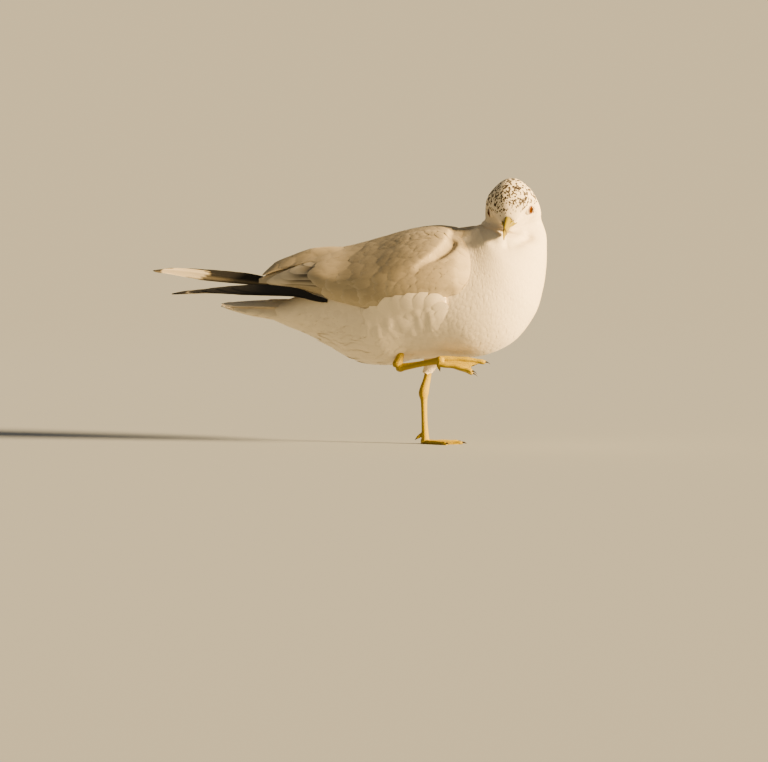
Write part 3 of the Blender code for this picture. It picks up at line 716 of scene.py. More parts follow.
# By distance from the bill's root: the skin's depth under the coat's surface, and the distance between roots.
COAT_DEPTHS = ((8, 0.5), (25, 0.9), (60, 1.5), (120, 2.2))
ROOT_SPACINGS = ((5, 0.95), (14, 1.15), (28, 1.5), (45, 1.9), (80, 3.0), (130, 4.2), (200, 5.2), (300, 5.8))


def coat_depth(points):
    """How far the skin lies under the coat's surface: thin on the face, deep on the body."""
    return np.interp(distance(points, BILL_ROOT), *zip(*COAT_DEPTHS))


def body_spacing(points):
    """Distance between roots: a millimetre at the bill, growing over the face and neck to the flanks."""
    return np.interp(distance(points, BILL_ROOT), *zip(*ROOT_SPACINGS))


SKIN_SPECKLES = 0.35  # how dark the skin is under the spotted feathers


def tone_skin(obj):
    """Gives a bare skin the coat's own markings."""
    points = mesh_points(obj)
    add_values(obj, "grey", mantle_share(points))
    add_values(obj, "brown", SKIN_SPECKLES * speckle_share(points))
    add_levels(obj, vary=0.5, along=0.5)


THIGH_PATH = [(-16, 5, 72), (-13.5, 6.6, 76.5), (-11, 8.8, 84), (-8, 11, 94), (-6, 13, 106)]
THIGH_RADII = [3.7, 5.2, 8.0, 11.0, 13.4]
THIGH_COAT = [0.4, 1.0, 2.0, 3.0, 3.0]  # how much slimmer the skin is than the coat over it
SKIN_VOXEL, SKIN_EASING = 1.5, 2


def tube_rings(path, radii, rings, sides):
    """Circles about a smooth path, their radii eased between the given ones."""
    where = np.linspace(0, len(path) - 1, rings)
    middle, radius = smooth_rows(path, where), smooth_rows(np.array(radii)[:, None], where)
    ahead = np.gradient(middle, axis=0)
    ahead /= np.linalg.norm(ahead, axis=1)[:, None]
    side = np.cross(ahead, [0.0, 1.0, 0.0])
    side /= np.linalg.norm(side, axis=1)[:, None]
    up = np.cross(side, ahead)
    turn = np.linspace(0, 2 * math.pi, sides, endpoint=False)
    ring = side[:, None] * np.cos(turn)[None, :, None] + up[:, None] * np.sin(turn)[None, :, None]
    return middle[:, None] + ring * radius[:, None]


class GULL_OT_skin(Operator):
    """The gull's bare skin: body, neck, head and thigh as one form, under the coat by its depth"""

    bl_idname = "gull.skin"
    bl_label = "Skin"

    def execute(self, context):
        inset = Sheet(BODY.grid[::4, ::4], wraps=True)
        rings = inset.grid - inset.normal * coat_depth(inset.grid)[..., None]
        rings[0] += (rings[1].mean(0) - rings[0].mean(0)) * 0.5
        body = add_loft("skin_body", rings, plumage_material())
        radii = np.maximum(np.array(THIGH_RADII) - THIGH_COAT, 1.5)
        thigh = add_loft("skin_thigh", tube_rings(THIGH_PATH, radii, 16, 16), plumage_material())
        skin = remeshed("skin", [body, thigh], SKIN_VOXEL, SKIN_EASING, plumage_material())
        tone_skin(skin)
        dress(skin, "white_plumage", "trunk", "neck", "head", "thigh_left")
        return {"FINISHED"}


def under_wing(points):
    """Where a folded wing hides the body, well inside the wing's edge."""
    x, y, z = np.moveaxis(points, -1, 0)
    reach = np.interp(x, [-120, 4, 26, 44], [22, 25, 42, 60])
    return (np.abs(y) > reach) & (x > -120) & (z > 160) & (z < 225)


BARE_ROUND_EYE = 4.5
RUFFLING = 0.5  # how much longer the ruffled feathers behind the legs are, as a share


def body_feathers(region, seed, rows):
    """The coat over the part of the body that the region's mask keeps."""
    settings = bpy.context.scene.gull_coat
    spacing = body_spacing(BODY.grid) * settings.spacing
    keep = region & ~under_wing(BODY.grid) & (eye_distance(BODY.grid) > BARE_ROUND_EYE)
    u, v = BODY.scatter(np.where(keep, spacing, 0), seed)
    rng = np.random.default_rng(seed + 100)
    root = BODY.read(BODY.grid, u, v)
    space = body_spacing(root) * settings.spacing
    length = space * settings.length * rng.uniform(0.85, 1.15, len(u))
    from_eye = eye_distance(root)
    length = np.where(from_eye < 14, np.minimum(length, np.maximum(from_eye - 3.8, 0.9)), length)
    x, y, z = root.T
    ruffled = bump(x + 80, 36) * step(118, 92, z) + 0.35 * bump(x + 20, 30) * step(105, 92, z)
    length = length * (1 + RUFFLING * ruffled)
    heading = rng.normal(0, 0.08 + 0.30 * ruffled)
    heading += 0.25 * np.sign(y) * step(30, 60, np.abs(y)) * step(60, 0, x)
    clump = np.sin(x / 5 + 1.5 * np.sin(z / 6 + y / 11)) + 0.6 * np.sin(x / 2.6 - z / 4 + 2 * np.sin(y / 5))
    high = rng.uniform(0, 0.03, len(u)) * space + ruffled * (rng.uniform(0, 0.5, len(u)) + 0.9 + 0.9 * clump)
    low = -coat_depth(root) * 0.5
    feathers = grow(BODY, (u, v), length, space * settings.width, heading, low, high, rows,
                    tip=0.25, blunt=0.18, thick=0.1)
    feathers["vary"] = rng.uniform(0, 1, len(u))
    feathers["root"] = root
    return feathers


SPOTTED = 0.42  # share of the feathers with a dark spot where the crown is darkest


def coat_piece(name, region, seed, rows=6):
    """One joined piece of the coat, with the markings of the skin beneath carried by each feather."""
    f = body_feathers(region, seed, rows)
    rng = np.random.default_rng(seed + 200)
    spotted = rng.uniform(0, 1, len(f["vary"])) < speckle_share(f["root"]) * SPOTTED
    s, a = f["s"][None, :, None], f["a"][None, None, :]
    spot = np.clip(2.8 * bump(a, 0.62) * step(0.48, 0.64, s), 0, 1)
    values = {
        "grey": mantle_share(f["root"])[:, None, None],
        "brown": spotted[:, None, None] * spot,
        "vary": f["vary"][:, None, None],
    }
    dress(feather_mesh(name, f, values), "white_plumage")


def vent_tufts():
    """Loose pointed tufts behind the legs and under the tail's root, hanging and crossing a little."""
    x, y, z = np.moveaxis(BODY.grid, -1, 0)
    here = (x > -128) & (x < -18) & (z < 124 - 0.25 * (x + 70)) & (np.abs(y) < 46)
    spacing = np.where(here, 6.0 + 6.0 * step(0, 1, 1 - bump(x + 84, 40)), 0)
    u, v = BODY.scatter(spacing, 44)
    rng = np.random.default_rng(144)
    side = np.sign(BODY.read(y, u, v)[:, 0])
    length = rng.uniform(17, 27, len(u))
    heading = 0.10 * side + rng.normal(0, 0.22, len(u))
    feathers = grow(BODY, (u, v), length, length * 0.42, heading, -0.8, rng.uniform(0.1, 0.7, len(u)), 12, 7,
                    tip=0.12, blunt=0.22, thick=0.08, camber=0.0)
    values = {"vary": rng.uniform(0, 1, len(u))[:, None, None]}
    dress(feather_mesh("coat_vent", feathers, values), "white_plumage")


def thigh_coat():
    """Short feathers down the standing leg's thigh to where the bare shank begins."""
    sheet = Sheet(tube_rings(THIGH_PATH, THIGH_RADII, 60, 48), wraps=True)
    outward = sheet.grid[10] - sheet.grid[10].mean(0)
    sheet.measure(flip=(sheet.normal[10] * outward).sum() < 0)
    u, v = sheet.scatter(np.full(sheet.grid.shape[:2], 2.0), 9)
    rng = np.random.default_rng(109)
    heading = rng.normal(0, 0.12, len(u))
    feathers = grow(sheet, (u, v), 7.5, 4.0, heading, -1.0, rng.uniform(0.0, 0.4, len(u)),
                    tip=0.25, blunt=0.2, thick=0.1)
    values = {"vary": rng.uniform(0, 1, len(u))[:, None, None]}
    dress(feather_mesh("coat_thigh", feathers, values), "white_plumage")


# The coat's pieces begin at these stations, counted from the tail's end.
BELLY_FROM, BREAST_FROM, NECK_FROM, HEAD_FROM = 0.5, 6, 10.5, 14.5


class GULL_OT_coat(Operator):
    """The small feathers of the head, neck, breast, belly, flanks and back"""

    bl_idname = "gull.coat"
    bl_label = "Body coat"

    def execute(self, context):
        stations = len(BODY_STATIONS) + len(HEAD_STATIONS)
        station = np.arange(BODY.rows)[:, None] * stations / (BODY.rows - 1)
        station = np.broadcast_to(station, BODY.grid.shape[:2])
        crown = to_head(BODY.grid)[..., 2] > 2
        coat_piece("coat_crown", (station > HEAD_FROM) & crown, 1, rows=8)
        coat_piece("coat_face", (station > HEAD_FROM) & ~crown, 5, rows=5)
        coat_piece("coat_neck", (station <= HEAD_FROM) & (station > NECK_FROM), 2, rows=5)
        thigh_coat()
        vent_tufts()
        coat_piece("coat_breast", (station <= NECK_FROM) & (station > BREAST_FROM), 3, rows=5)
        coat_piece("coat_belly", (station <= BREAST_FROM) & (station > BELLY_FROM), 4)
        return {"FINISHED"}


# ---------------------------------------------------------------- eyes and bill

BALL_ROWS, BALL_COLUMNS = 40, 48
LID_ROWS, LID_SIDES, ORBIT_ROWS = 64, 12, 12
ALMOND = 0.07  # how far the eye's opening leaves a circle, as a share of its radius
LENS = 0.5  # how far the front of the eyeball bulges


def ball_grid(radius, along, around):
    """Rings from the pole on +X round to the far side, by equal angles."""
    polar = np.linspace(0.02, math.pi - 0.02, along)[:, None]
    turn = np.linspace(0, 2 * math.pi, around, endpoint=False)[None]
    x = np.broadcast_to(np.cos(polar), (along, around))
    return np.stack([x, np.sin(polar) * np.cos(turn), np.sin(polar) * np.sin(turn)], 2) * radius, polar


def eye_material():
    """A brown iris with darker rim and black pupil, by the angle from the eye's pole, under a wet coat."""
    mat, tree, shader = new_material("eye", roughness=0.15)
    iris = bpy.context.scene.gull_colours.iris
    colour = ramp(tree, attribute(tree, "polar"), (0.27, (0.004, 0.003, 0.003)), (0.32, iris),
                  (0.76, [x * 0.6 for x in iris]), (0.86, (0.01, 0.006, 0.004)))
    grain = noise(tree, 900.0, 4.0)["Color"]
    tree.links.new(mix(tree, 0.35, colour, grain, "OVERLAY"), shader.inputs["Base Color"])
    shader.inputs["Specular IOR Level"].default_value = 0.0
    shader.inputs["Coat Weight"].default_value = 0.004
    shader.inputs["Coat Roughness"].default_value = 0.06
    return mat


def turned(points, axis):
    """Turns points so that +X lies along the axis, with Z kept upright."""
    x = np.array(axis, float) / np.linalg.norm(axis)
    y = np.cross([0, 0, 1], x)
    y /= np.linalg.norm(y)
    return points @ np.stack([x, y, np.cross(x, y)])


class GULL_OT_eyes(Operator):
    """Both eyes, each with its ring of bare lid"""

    bl_idname = "gull.eyes"
    bl_label = "Eyes"

    def execute(self, context):
        glassy = eye_material()
        lid, tree, shader = new_material("lid", context.scene.gull_colours.lid, 0.6)
        roughen(tree, shader, noise(tree, 2500.0)["Fac"], 0.5, 0.0002)
        for word, side in (("left", 1), ("right", -1)):
            axis = EYE_POLE * (1, side, 1) - (0, side * EYE_SIDE, 0)
            ball, polar = ball_grid(EYE_RADIUS - 0.35, BALL_ROWS, BALL_COLUMNS)
            bulge = LENS * bump(polar[..., None], 0.5)
            ball = turned(ball * (1 + bulge / EYE_RADIUS), axis) + (0, side * EYE_SIDE, 0)
            eye = add_loft("eyeball_" + word, from_head(ball), glassy)
            add_values(eye, "polar", np.append(np.repeat(polar[:, 0], BALL_COLUMNS), [0, math.pi]))
            dress(eye, "eye", "eye_" + word)
            self.lid_ring(word, side, axis, lid)
        return {"FINISHED"}

    def lid_ring(self, word, side, axis, material):
        """A slim ring about the opening: a circle swept round the eye's axis, pinched to an almond. Behind it
        a thin white dome hugs the eyeball, so that the face closes up to the ring."""
        turn = np.linspace(0, 2 * math.pi, LID_ROWS, endpoint=False)[:, None]
        small = np.linspace(0, 2 * math.pi, LID_SIDES, endpoint=False)[None]
        almond = 1 + ALMOND * np.cos(2 * turn)
        lid = self.swept("eyelid_" + word, 4.75 + 0.55 * np.sin(small) - 0.25 * np.cos(2 * turn),
                         (4.25 + 0.62 * np.cos(small)) * almond, side, axis, material)
        dress(lid, "leg_skin")
        polar = np.linspace(0.76, 1.9, ORBIT_ROWS)
        polar = np.append(polar, polar[::-1])[None]
        reach = EYE_RADIUS + np.repeat([0.12, -0.2], ORBIT_ROWS)[None]
        out = reach * np.sin(polar) * almond
        ahead = np.broadcast_to(reach * np.cos(polar), out.shape)
        dome = self.swept("orbit_" + word, ahead, out, side, axis, plumage_material())
        tone_skin(dome)
        dress(dome, "white_plumage")

    def swept(self, name, ahead, out, side, axis, material):
        """A closed band of sections, by heights before the eyeball's middle and distances from its axis."""
        rows, columns = ahead.shape
        turn = np.linspace(0, 2 * math.pi, rows, endpoint=False)[:, None]
        ring = np.stack([ahead, out * np.cos(turn), out * np.sin(turn) * 0.94], 2)
        points = from_head(turned(ring, axis) + (0, side * EYE_SIDE, 0))
        last = ring_faces(2, columns)
        last = last % columns + np.where(last < columns, (rows - 1) * columns, 0)
        faces = ring_faces(rows, columns).tolist() + last.tolist()
        return face_outwards(add_mesh(name, points, faces, material))


LOWER_BILL = 0.93  # the lower half's length as a share of the upper's
BILL_HALF_WIDTH, BILL_POINT = 3.7, 0.42
BILL_ROWS, BILL_SIDES = 60, 48


def bill_parting(share):
    """The height of the cutting edge, by the share of the bill's length."""
    return -3.0 - 0.9 * share - 3.0 * share**6


def bill_half(upper):
    """Slices of a half bill from root to tip: flat along the cutting edge, arched over the other side. The
    upper half hooks over the lower at its point and is dented by a nostril slit on each side."""
    last = 1 if upper else LOWER_BILL
    share = np.linspace(0, last, BILL_ROWS)[:, None]
    parting = bill_parting(share)
    half = BILL_HALF_WIDTH * (1 - share / last) ** 0.8 + BILL_POINT
    if upper:
        edge, far = parting, 3.4 - 2.3 * share - 4.6 * share**4
    else:
        edge = parting - 0.12
        far = np.minimum(-8.6 + 3.4 * share**2 - bump(share - 0.6, 0.2), edge - 0.7)
    turn = np.linspace(0, 2 * math.pi, BILL_SIDES, endpoint=False)[None]
    lift = np.where(np.sin(turn) > 0, np.sin(turn), 0.10 * np.sin(turn))
    y = half * np.sign(np.cos(turn)) * np.abs(np.cos(turn)) ** 0.85
    z = edge + (far - edge) * lift
    if upper:
        nostril = bump(share - 0.36, 0.10) * bump(z - 0.2, 0.75)
        y = y * (1 - 0.32 * nostril * (np.abs(np.cos(turn)) > 0.2))
    root = 3 * (1 - share) * (1 - upper)  # the lower half reaches further back
    x = np.broadcast_to(BILL_BASE + share * (BILL_TIP - BILL_BASE) - root, y.shape)
    return np.stack([x, y, z], 2), np.broadcast_to(share, y.shape)


def horn_material():
    """Yellow horn, a little greener at its root, with a dusky band before the tip, a painted shade line along
    the parting of the halves, and fine grain.
    """
    mat, tree, shader = new_material("bill_horn", roughness=0.34)
    red, green, blue = bpy.context.scene.gull_colours.bill
    colour = ramp(tree, attribute(tree, "share"), (0.0, (red * 0.93, green, blue)), (1.0, (red, green, blue)))
    # the band values hold both the dusky band and the painted shade along the parting
    band = node(tree, "ShaderNodeMapRange", {"Value": attribute(tree, "band"), "To Max": 0.85}).outputs[0]
    grain = noise(tree, 600.0, 5.0)
    colour = mix(tree, 0.18, mix(tree, band, colour, (0.03, 0.02, 0.012, 1)), grain["Color"], "OVERLAY")
    tree.links.new(colour, shader.inputs["Base Color"])
    roughen(tree, shader, grain["Fac"], 0.15, 0.0003)
    shader.inputs["Specular IOR Level"].default_value = 0.25
    return mat


BAND_AT, UPPER_BAND, LOWER_BAND = 0.72, 0.055, 0.075  # the dusky band's place and half widths along the bill
MOUTH_RINGS = 24


class GULL_OT_bill(Operator):
    """The two halves of the bill and the yellow corners of the mouth"""

    bl_idname = "gull.bill"
    bl_label = "Bill"

    def execute(self, context):
        horn = horn_material()
        for name, upper in (("bill_upper", True), ("bill_lower", False)):
            rings, share = bill_half(upper)
            obj = add_loft(name + "_horn", from_head(rings), horn)
            add_values(obj, "share", np.append(share.ravel(), [0, 1]))
            band = bump(share - BAND_AT, UPPER_BAND if upper else LOWER_BAND)
            # painted shade: the horn darkens along the cutting edge, for the gap between the halves
            mouth = 0.9 * bump(rings[..., 2] - bill_parting(share), 0.42) * step(0.9, 0.6, share)
            add_values(obj, "band", np.append(np.maximum(band, mouth).ravel(), [0, 0]))
            dress(obj, "bill_horn", name)
        for word, side in (("left", 1), ("right", -1)):
            path = [(27, 1.6, -3.7), (20, 4.5, -4.2), (12.5, 9.2, -5.6), (6.0, 13.2, -8.2)]
            rings = tube_rings(np.array(path) * (1, side, 1), [1.2, 1.3, 1.0, 0.2], MOUTH_RINGS, 16)
            middle = rings.mean(1, keepdims=True)
            tall = np.interp(np.arange(MOUTH_RINGS), [0, 8, 15, 23], [1.2, 2.3, 1.9, 1.0])[:, None]
            rings[..., 2] = middle[..., 2] + (rings[..., 2] - middle[..., 2]) * tall
            obj = add_loft("mouth_corner_" + word, from_head(rings), horn)
            add_levels(obj, share=0, band=0)
            dress(obj, "bill_horn")
        return {"FINISHED"}


# ---------------------------------------------------------------- wings


SHEET_ROWS, SHEET_COLUMNS = 240, 90
SCAPULAR_FRONT, SCAPULAR_CURVE = 20, 26  # where the scapulars end in front, and how far back that line bends


def scapular_bend(q):
    """How far back the scapulars' front line lies, by the share q of the wing's depth from its top edge."""
    return SCAPULAR_CURVE * np.clip(q / 0.5, 0, 1) ** 3


def wing_sheet(side):
    """The wing's outer face, rear to front, swollen where the scapulars lie over the coverts."""
    sheet = Sheet(wing_grid(side, SHEET_ROWS, SHEET_COLUMNS)[::-1], wraps=False, flip=side < 0)
    x = sheet.grid[..., 0]
    q = np.linspace(0, 1, sheet.columns)[None]
    bend = scapular_bend(q)
    front = step(SCAPULAR_FRONT, SCAPULAR_FRONT - 5, x + bend)
    mass = front * step(0.56, 0.47, q + 0.0006 * x) * step(-150, -70, x)
    sunk = 3.2 * step(30, 48, x) + 2.4 * step(0.80, 1.0, q) * step(2, 28, x)
    groove = 3.4 * bump(x - SCAPULAR_FRONT - 5 + bend, 4.5) * step(0.06, 0.14, q) * step(0.48, 0.38, q)
    sheet.swell((2.4 + 1.2 * step(-40, 5, x)) * mass - sunk - groove)
    return sheet


def wing_roots(sheet, x, q):
    """Grid rows and columns from places along the wing and shares of its depth, top edge to lower edge."""
    middle = sheet.grid[:, sheet.columns // 2, 0]
    return np.interp(x, middle, np.arange(sheet.rows)), np.asarray(q, float) * (sheet.columns - 1)


def tract(name, sheet, parts, seed):
    """Feathers of several kinds on one sheet. Each kind is a dictionary for grow with its roots and masks."""
    made = []
    for k, part in enumerate(parts):
        masks = part.pop("masks")
        feathers = grow(sheet, **part)
        vary = np.random.default_rng(seed + k).uniform(0, 1, len(feathers["u"]))[:, None, None]
        s, a = feathers["s"][None, :, None], feathers["a"][None, None, :]
        values = {"grey": 0.0, "brown": 0.0, "black": 0.0, "vary": vary, **masks(s, a, feathers)}
        made.append(feather_mesh(f"{name}_{k}", feathers, values))
    return made


def secondary_masks(s, a, feathers):
    """Grey with a white tip."""
    return {"grey": step(0.96, 0.92, s + 0.05 * np.abs(a) ** 2)}


def tertial_masks(s, a, feathers):
    """Grey, with a broad pale fringe at the edges and the tip; darkened along the middle as painted shade,
    for the shadows between loosely lying tertials.
    """
    pale = np.maximum(step(0.72, 0.96, s + 0.05 * a**2), 0.75 * step(0.45, 0.95, np.abs(a)))
    # black: painted shade along each tertial's middle, for the gaps between the tertials
    return {"grey": 1 - 0.65 * pale, "black": 0.68 * (1 - pale) * step(0.05, 0.35, s)}


def plain_grey(s, a, feathers):
    """Grey with the narrowest paler fringe at the tip."""
    return {"grey": 1 - 0.18 * step(0.90, 1.0, s + 0.06 * np.abs(a) ** 2)}


def white_masks(s, a, feathers):
    return {}


def fading_masks(ahead, reach, soft):
    """Plain grey behind a line on the sheet, white before it; ahead says how far before it each root lies."""
    def masks(s, a, feathers):
        place = ahead[:, None, None] - reach[:, None, None] * s
        return {"grey": step(soft, -soft, place) * plain_grey(s, a, feathers)["grey"]}
    return masks


def sown(sheet, keep, spacing, seed):
    """Roots where the mask holds, and the spacing at each."""
    roots = sheet.scatter(np.where(keep, spacing, 0), seed)
    return roots, sheet.read(spacing, *roots)[:, 0]


SECONDARIES = 7
TERTIAL_ROOTS = np.array([-70, -66, -62, -58, -56, -54.0])
TERTIAL_ENDS = np.array([-190, -186, -179, -170, -158, -143.0])
TERTIAL_WIDTHS = np.array([19, 21, 23, 24, 24, 22.0])
WING_LENGTHS = 4.8  # the wing's small feathers' length in root distances


def wing_kinds(sheet, seed):
    """The wing's tracts, lowest layer first: secondaries, tertials, coverts and scapulars."""
    rng = np.random.default_rng(seed)
    x = sheet.grid[..., 0]
    q = np.broadcast_to(np.linspace(0, 1, sheet.columns)[None], x.shape)
    k = np.arange(SECONDARIES)
    roots = wing_roots(sheet, -18 - 10.5 * k, np.full(SECONDARIES, 0.86))
    secondaries = dict(roots=roots, length=88 - 1.5 * k, width=15, heading=0.06 - 0.015 * k,
                       low=-4.0 + 0.25 * k, high=-2.6 + 0.2 * k, rows=22, columns=7, tip=0.5, blunt=0.05,
                       thick=0.3, camber=0.01, masks=secondary_masks)
    count = len(TERTIAL_ROOTS)
    k = np.arange(count)
    tertials = dict(roots=wing_roots(sheet, TERTIAL_ROOTS, np.linspace(0.72, 0.16, count)),
                    length=TERTIAL_ROOTS - TERTIAL_ENDS, width=TERTIAL_WIDTHS,
                    heading=np.linspace(0.0, 0.02, count), low=-3.0 + 0.25 * k, high=-1.6 + 0.3 * k, rows=26,
                    columns=9, tip=0.45, blunt=0.05, thick=0.3, camber=0.015, masks=tertial_masks)
    edge = np.interp(sheet.grid[..., 2], [146, 150, 164, 174, 190, 205], [12, 20, 40, 46, 50, 52])
    spacing = np.interp(x, [-60, -20, 20, 45], [9.0, 7.2, 5.0, 3.8])
    roots, space = sown(sheet, ((q > 0.26) | (x > 6)) & (x > -74), spacing, seed + 1)
    count = len(space)
    ahead = sheet.read(x - edge, *roots)[:, 0] + rng.normal(0, 0.7, count)
    coverts = dict(roots=roots, length=space * WING_LENGTHS, width=space * 2.7,
                   heading=0.10 + rng.normal(0, 0.05, count), low=-0.27 * space,
                   high=rng.uniform(-0.15, -0.08, count), rows=9, columns=7, tip=0.5, blunt=0.10, thick=0.1,
                   masks=fading_masks(ahead, space * WING_LENGTHS, 1.2))
    mass = (q < 0.50 - 0.0006 * x) & (x < SCAPULAR_FRONT - scapular_bend(q)) & (x > -84)
    spacing = np.interp(x, [-90, -30, 5, 20], [12.0, 9.0, 5.5, 3.6])
    roots, space = sown(sheet, mass, spacing, seed + 2)
    count = len(space)
    scapulars = dict(roots=roots, length=space * WING_LENGTHS, width=space * 2.6,
                     heading=0.13 + rng.normal(0, 0.05, count), low=-0.22 * space,
                     high=rng.uniform(0.08, 0.16, count), rows=10, columns=7, tip=0.55, blunt=0.10, thick=0.1,
                     masks=plain_grey)
    return [secondaries, tertials, coverts, scapulars]


def back_sheet():
    """The mantle: a low arch over the back from one wing's upper edge to the other's, rear to front."""
    right, left = (wing_sheet(side).grid for side in (-1, 1))
    rows = between(right[:, 0, 0], MANTLE_ROWS)
    right, left = right[rows], left[rows]
    spine = BODY.grid.reshape(-1, 3)
    spine = spine[(np.abs(spine[:, 1]) < 1.5) & (spine[:, 0] < 44) & (spine[:, 2] > 140)]
    spine = spine[np.argsort(spine[:, 0])]
    x = right[:, 0, 0]
    high = np.maximum(np.interp(x, spine[:, 0], spine[:, 2]) + 0.6, right[:, 0, 2] + 0.8)
    high = np.maximum(high, left[:, 0, 2] + 0.3)
    curves = np.stack([right[:, 14], right[:, 5], np.stack([x, 0 * x, high], 1), left[:, 5], left[:, 14]])
    return curved_sheet(curves, 60, False)


def curved_sheet(curves, columns, flip):
    """A sheet whose columns run through the curves."""
    grid = smooth_rows(curves, np.linspace(0, len(curves) - 1, columns)).transpose(1, 0, 2)
    return Sheet(grid, wraps=False, flip=flip)


MANTLE_LENGTHS = 4.2  # mantle feathers' length in root distances


def back_kinds(sheet, rng):
    """Grey mantle feathers over the back, small and white where they meet the neck."""
    x = sheet.grid[..., 0]
    spacing = np.interp(x, [-110, -30, 15, 44], [11, 7.5, 4.6, 3.0])
    reach = np.interp(x, [-110, 10, 44], [60, 40, 24])
    middle = np.abs(np.linspace(-1, 1, sheet.columns))[None] < np.where(x < -112, 0.55, 2.0)
    keep = (x < 45) & (x > -146) & middle & (np.abs(sheet.grid[..., 1]) < reach)
    roots, space = sown(sheet, keep, spacing, 77)
    count = len(space)
    ahead = sheet.read(x, *roots)[:, 0] - 41 + rng.normal(0, 0.8, count)
    return [dict(roots=roots, length=space * MANTLE_LENGTHS, width=space * 2.6,
                 heading=rng.normal(0, 0.06, count), low=-1.8, high=0.2 + rng.uniform(0, 0.15, count), rows=9,
                 columns=7, tip=0.5, blunt=0.12, thick=0.12,
                 masks=fading_masks(ahead, space * MANTLE_LENGTHS, 1.5))]


def body_side(x, z, side):
    """How far out the body's surface lies at each place of its side view."""
    shell = BODY.grid[::3, ::2].reshape(-1, 3)
    shell = shell[shell[:, 1] * side > 5]
    away = (x.reshape(-1, 1) - shell[:, 0]) ** 2 + (z.reshape(-1, 1) - shell[:, 2]) ** 2
    return np.abs(shell[away.argmin(1), 1]).reshape(x.shape)


def apron_sheet(side):
    """A surface down the lower wing, over its edge and on to the body below, smooth across the join: curves
    through three points of the wing and four of the body at each of the wing's rows."""
    wing = wing_grid(side, 120, 41)[::-1]
    wing = wing[between(wing[:, 0, 0], APRON_ROWS)]
    curves = [wing[:, k] for k in (20, 30, 39)]
    for drop, proud in ((6, 2.2), (12, 0.9), (20, 0.2), (30, 0.0)):
        x, z = wing[:, 40, 0], wing[:, 40, 2] - drop
        curves.append(np.stack([x, side * (body_side(x, z, side) + proud), z], 1))
    return curved_sheet(np.stack(curves), 90, side < 0)


FLANK_LOBES = np.array([[-20, 0.64], [-9, 0.64], [2, 0.63], [12, 0.63], [19, 0.64]])  # x, share of the depth
FLANK_LOBE_LENGTHS = np.array([35, 37, 36, 32, 26.0])


def flank_kinds(sheet, rng):
    """White flank feathers that run up and back from below the wing over its edge: small ones, then lobes."""
    x = sheet.grid[..., 0]
    t = np.broadcast_to(np.linspace(0, 1, sheet.columns)[None], x.shape)
    start = np.interp(x, [-50, -34, -18, 10, 40], [0.66, 0.60, 0.54, 0.56, 0.72])
    spacing = np.interp(x, [-40, 10, 28, 40], [7.5, 6.5, 4.5, 3.6])
    roots, space = sown(sheet, (x > -50) & (x < 27) & (t > start), spacing, 71)
    count = len(space)
    turn = -0.62 * step(1.0, 0.45, sheet.read(t, *roots)[:, 0]) - 0.12
    small = dict(roots=roots, length=space * 3.9, width=space * 2.5,
                 heading=turn + rng.normal(0, 0.07, count), low=-1.2, high=0.2 + rng.uniform(0, 0.2, count),
                 rows=10, columns=7, tip=0.55, blunt=0.10, thick=0.12, camber=0.015, masks=white_masks)
    row = np.interp(FLANK_LOBES[:, 0], x[:, 0], np.arange(sheet.rows))
    count = len(row)
    broad = dict(roots=(row, FLANK_LOBES[:, 1] * (sheet.columns - 1)), length=FLANK_LOBE_LENGTHS,
                 width=FLANK_LOBE_LENGTHS * 0.72, heading=np.linspace(-0.62, -0.8, count), low=-3.0,
                 high=np.linspace(1.0, 0.5, count), rows=16, columns=11, tip=0.75, blunt=0.06, thick=0.2,
                 masks=white_masks)
    return [small, broad]


WING_FLESH_OUTER, WING_FLESH_INNER, WING_FLESH_BOW = 2.6, 4.2, 4.0  # depths under the wing's surface
FLANK_FLESH_ROWS, FLANK_FLESH_OUTER, FLANK_FLESH_INNER = (-72, 22), 1.7, 9.0
MANTLE_ROWS, APRON_ROWS = (-186, 46), (-72, 51)


def between(x, span):
    return (x > span[0]) & (x < span[1])


def wing_flesh(sheet):
    """A closed slab under the wing's feathers: its outer face sunk a little, its inner face bowed inwards."""
    grid, normal = sheet.grid[::6, ::6], sheet.normal[::6, ::6]
    bow = np.sin(np.linspace(0, math.pi, grid.shape[1]))[None, :, None]
    outer = grid - normal * WING_FLESH_OUTER
    inner = grid - normal * (WING_FLESH_INNER + WING_FLESH_BOW * bow)
    return np.concatenate([outer, inner[:, ::-1]], 1)


def flank_flesh(apron):
    """A closed slab behind the flank feathers, which fills the gap between the wing's edge and the body."""
    rows = between(apron.grid[:, 0, 0], FLANK_FLESH_ROWS)
    grid, normal = apron.grid[rows][::3, 33::4], apron.normal[rows][::3, 33::4]
    outer, inner = grid - normal * FLANK_FLESH_OUTER, grid - normal * FLANK_FLESH_INNER
    return np.concatenate([outer, inner[:, ::-1]], 1)


def add_flesh(name, rings, slot, *nodes, **levels):
    """A plain closed form under feathers, with the same markings all over."""
    flesh = add_loft(name, rings, plumage_material())
    add_levels(flesh, vary=0.5, along=0.5, **levels)
    dress(flesh, slot, *nodes)


class GULL_OT_wings(Operator):
    """The folded wings, the white feathers over their lower edges, and the mantle between them"""

    bl_idname = "gull.wings"
    bl_label = "Wings"

    def execute(self, context):
        for word, side, seed in (("right", -1, 11), ("left", 1, 31)):
            sheet, apron = wing_sheet(side), apron_sheet(side)
            add_flesh("wing_flesh_" + word, wing_flesh(sheet), "grey_plumage", f"wing_{word}_arm",
                      f"wing_{word}_tertials", grey=0.8)
            made = tract("wing_" + word, sheet, wing_kinds(sheet, seed), seed)
            join("wing_feathers_" + word, made, "grey_plumage")
            kinds = flank_kinds(apron, np.random.default_rng(seed + 9))
            made = tract("flank_" + word, apron, kinds, seed + 5)
            join("flank_feathers_" + word, made, "white_plumage")
            add_flesh("flank_flesh_" + word, flank_flesh(apron), "white_plumage")
        back = back_sheet()
        made = tract("mantle", back, back_kinds(back, np.random.default_rng(83)), 79)
        join("mantle_feathers", made, "grey_plumage")
        return {"FINISHED"}


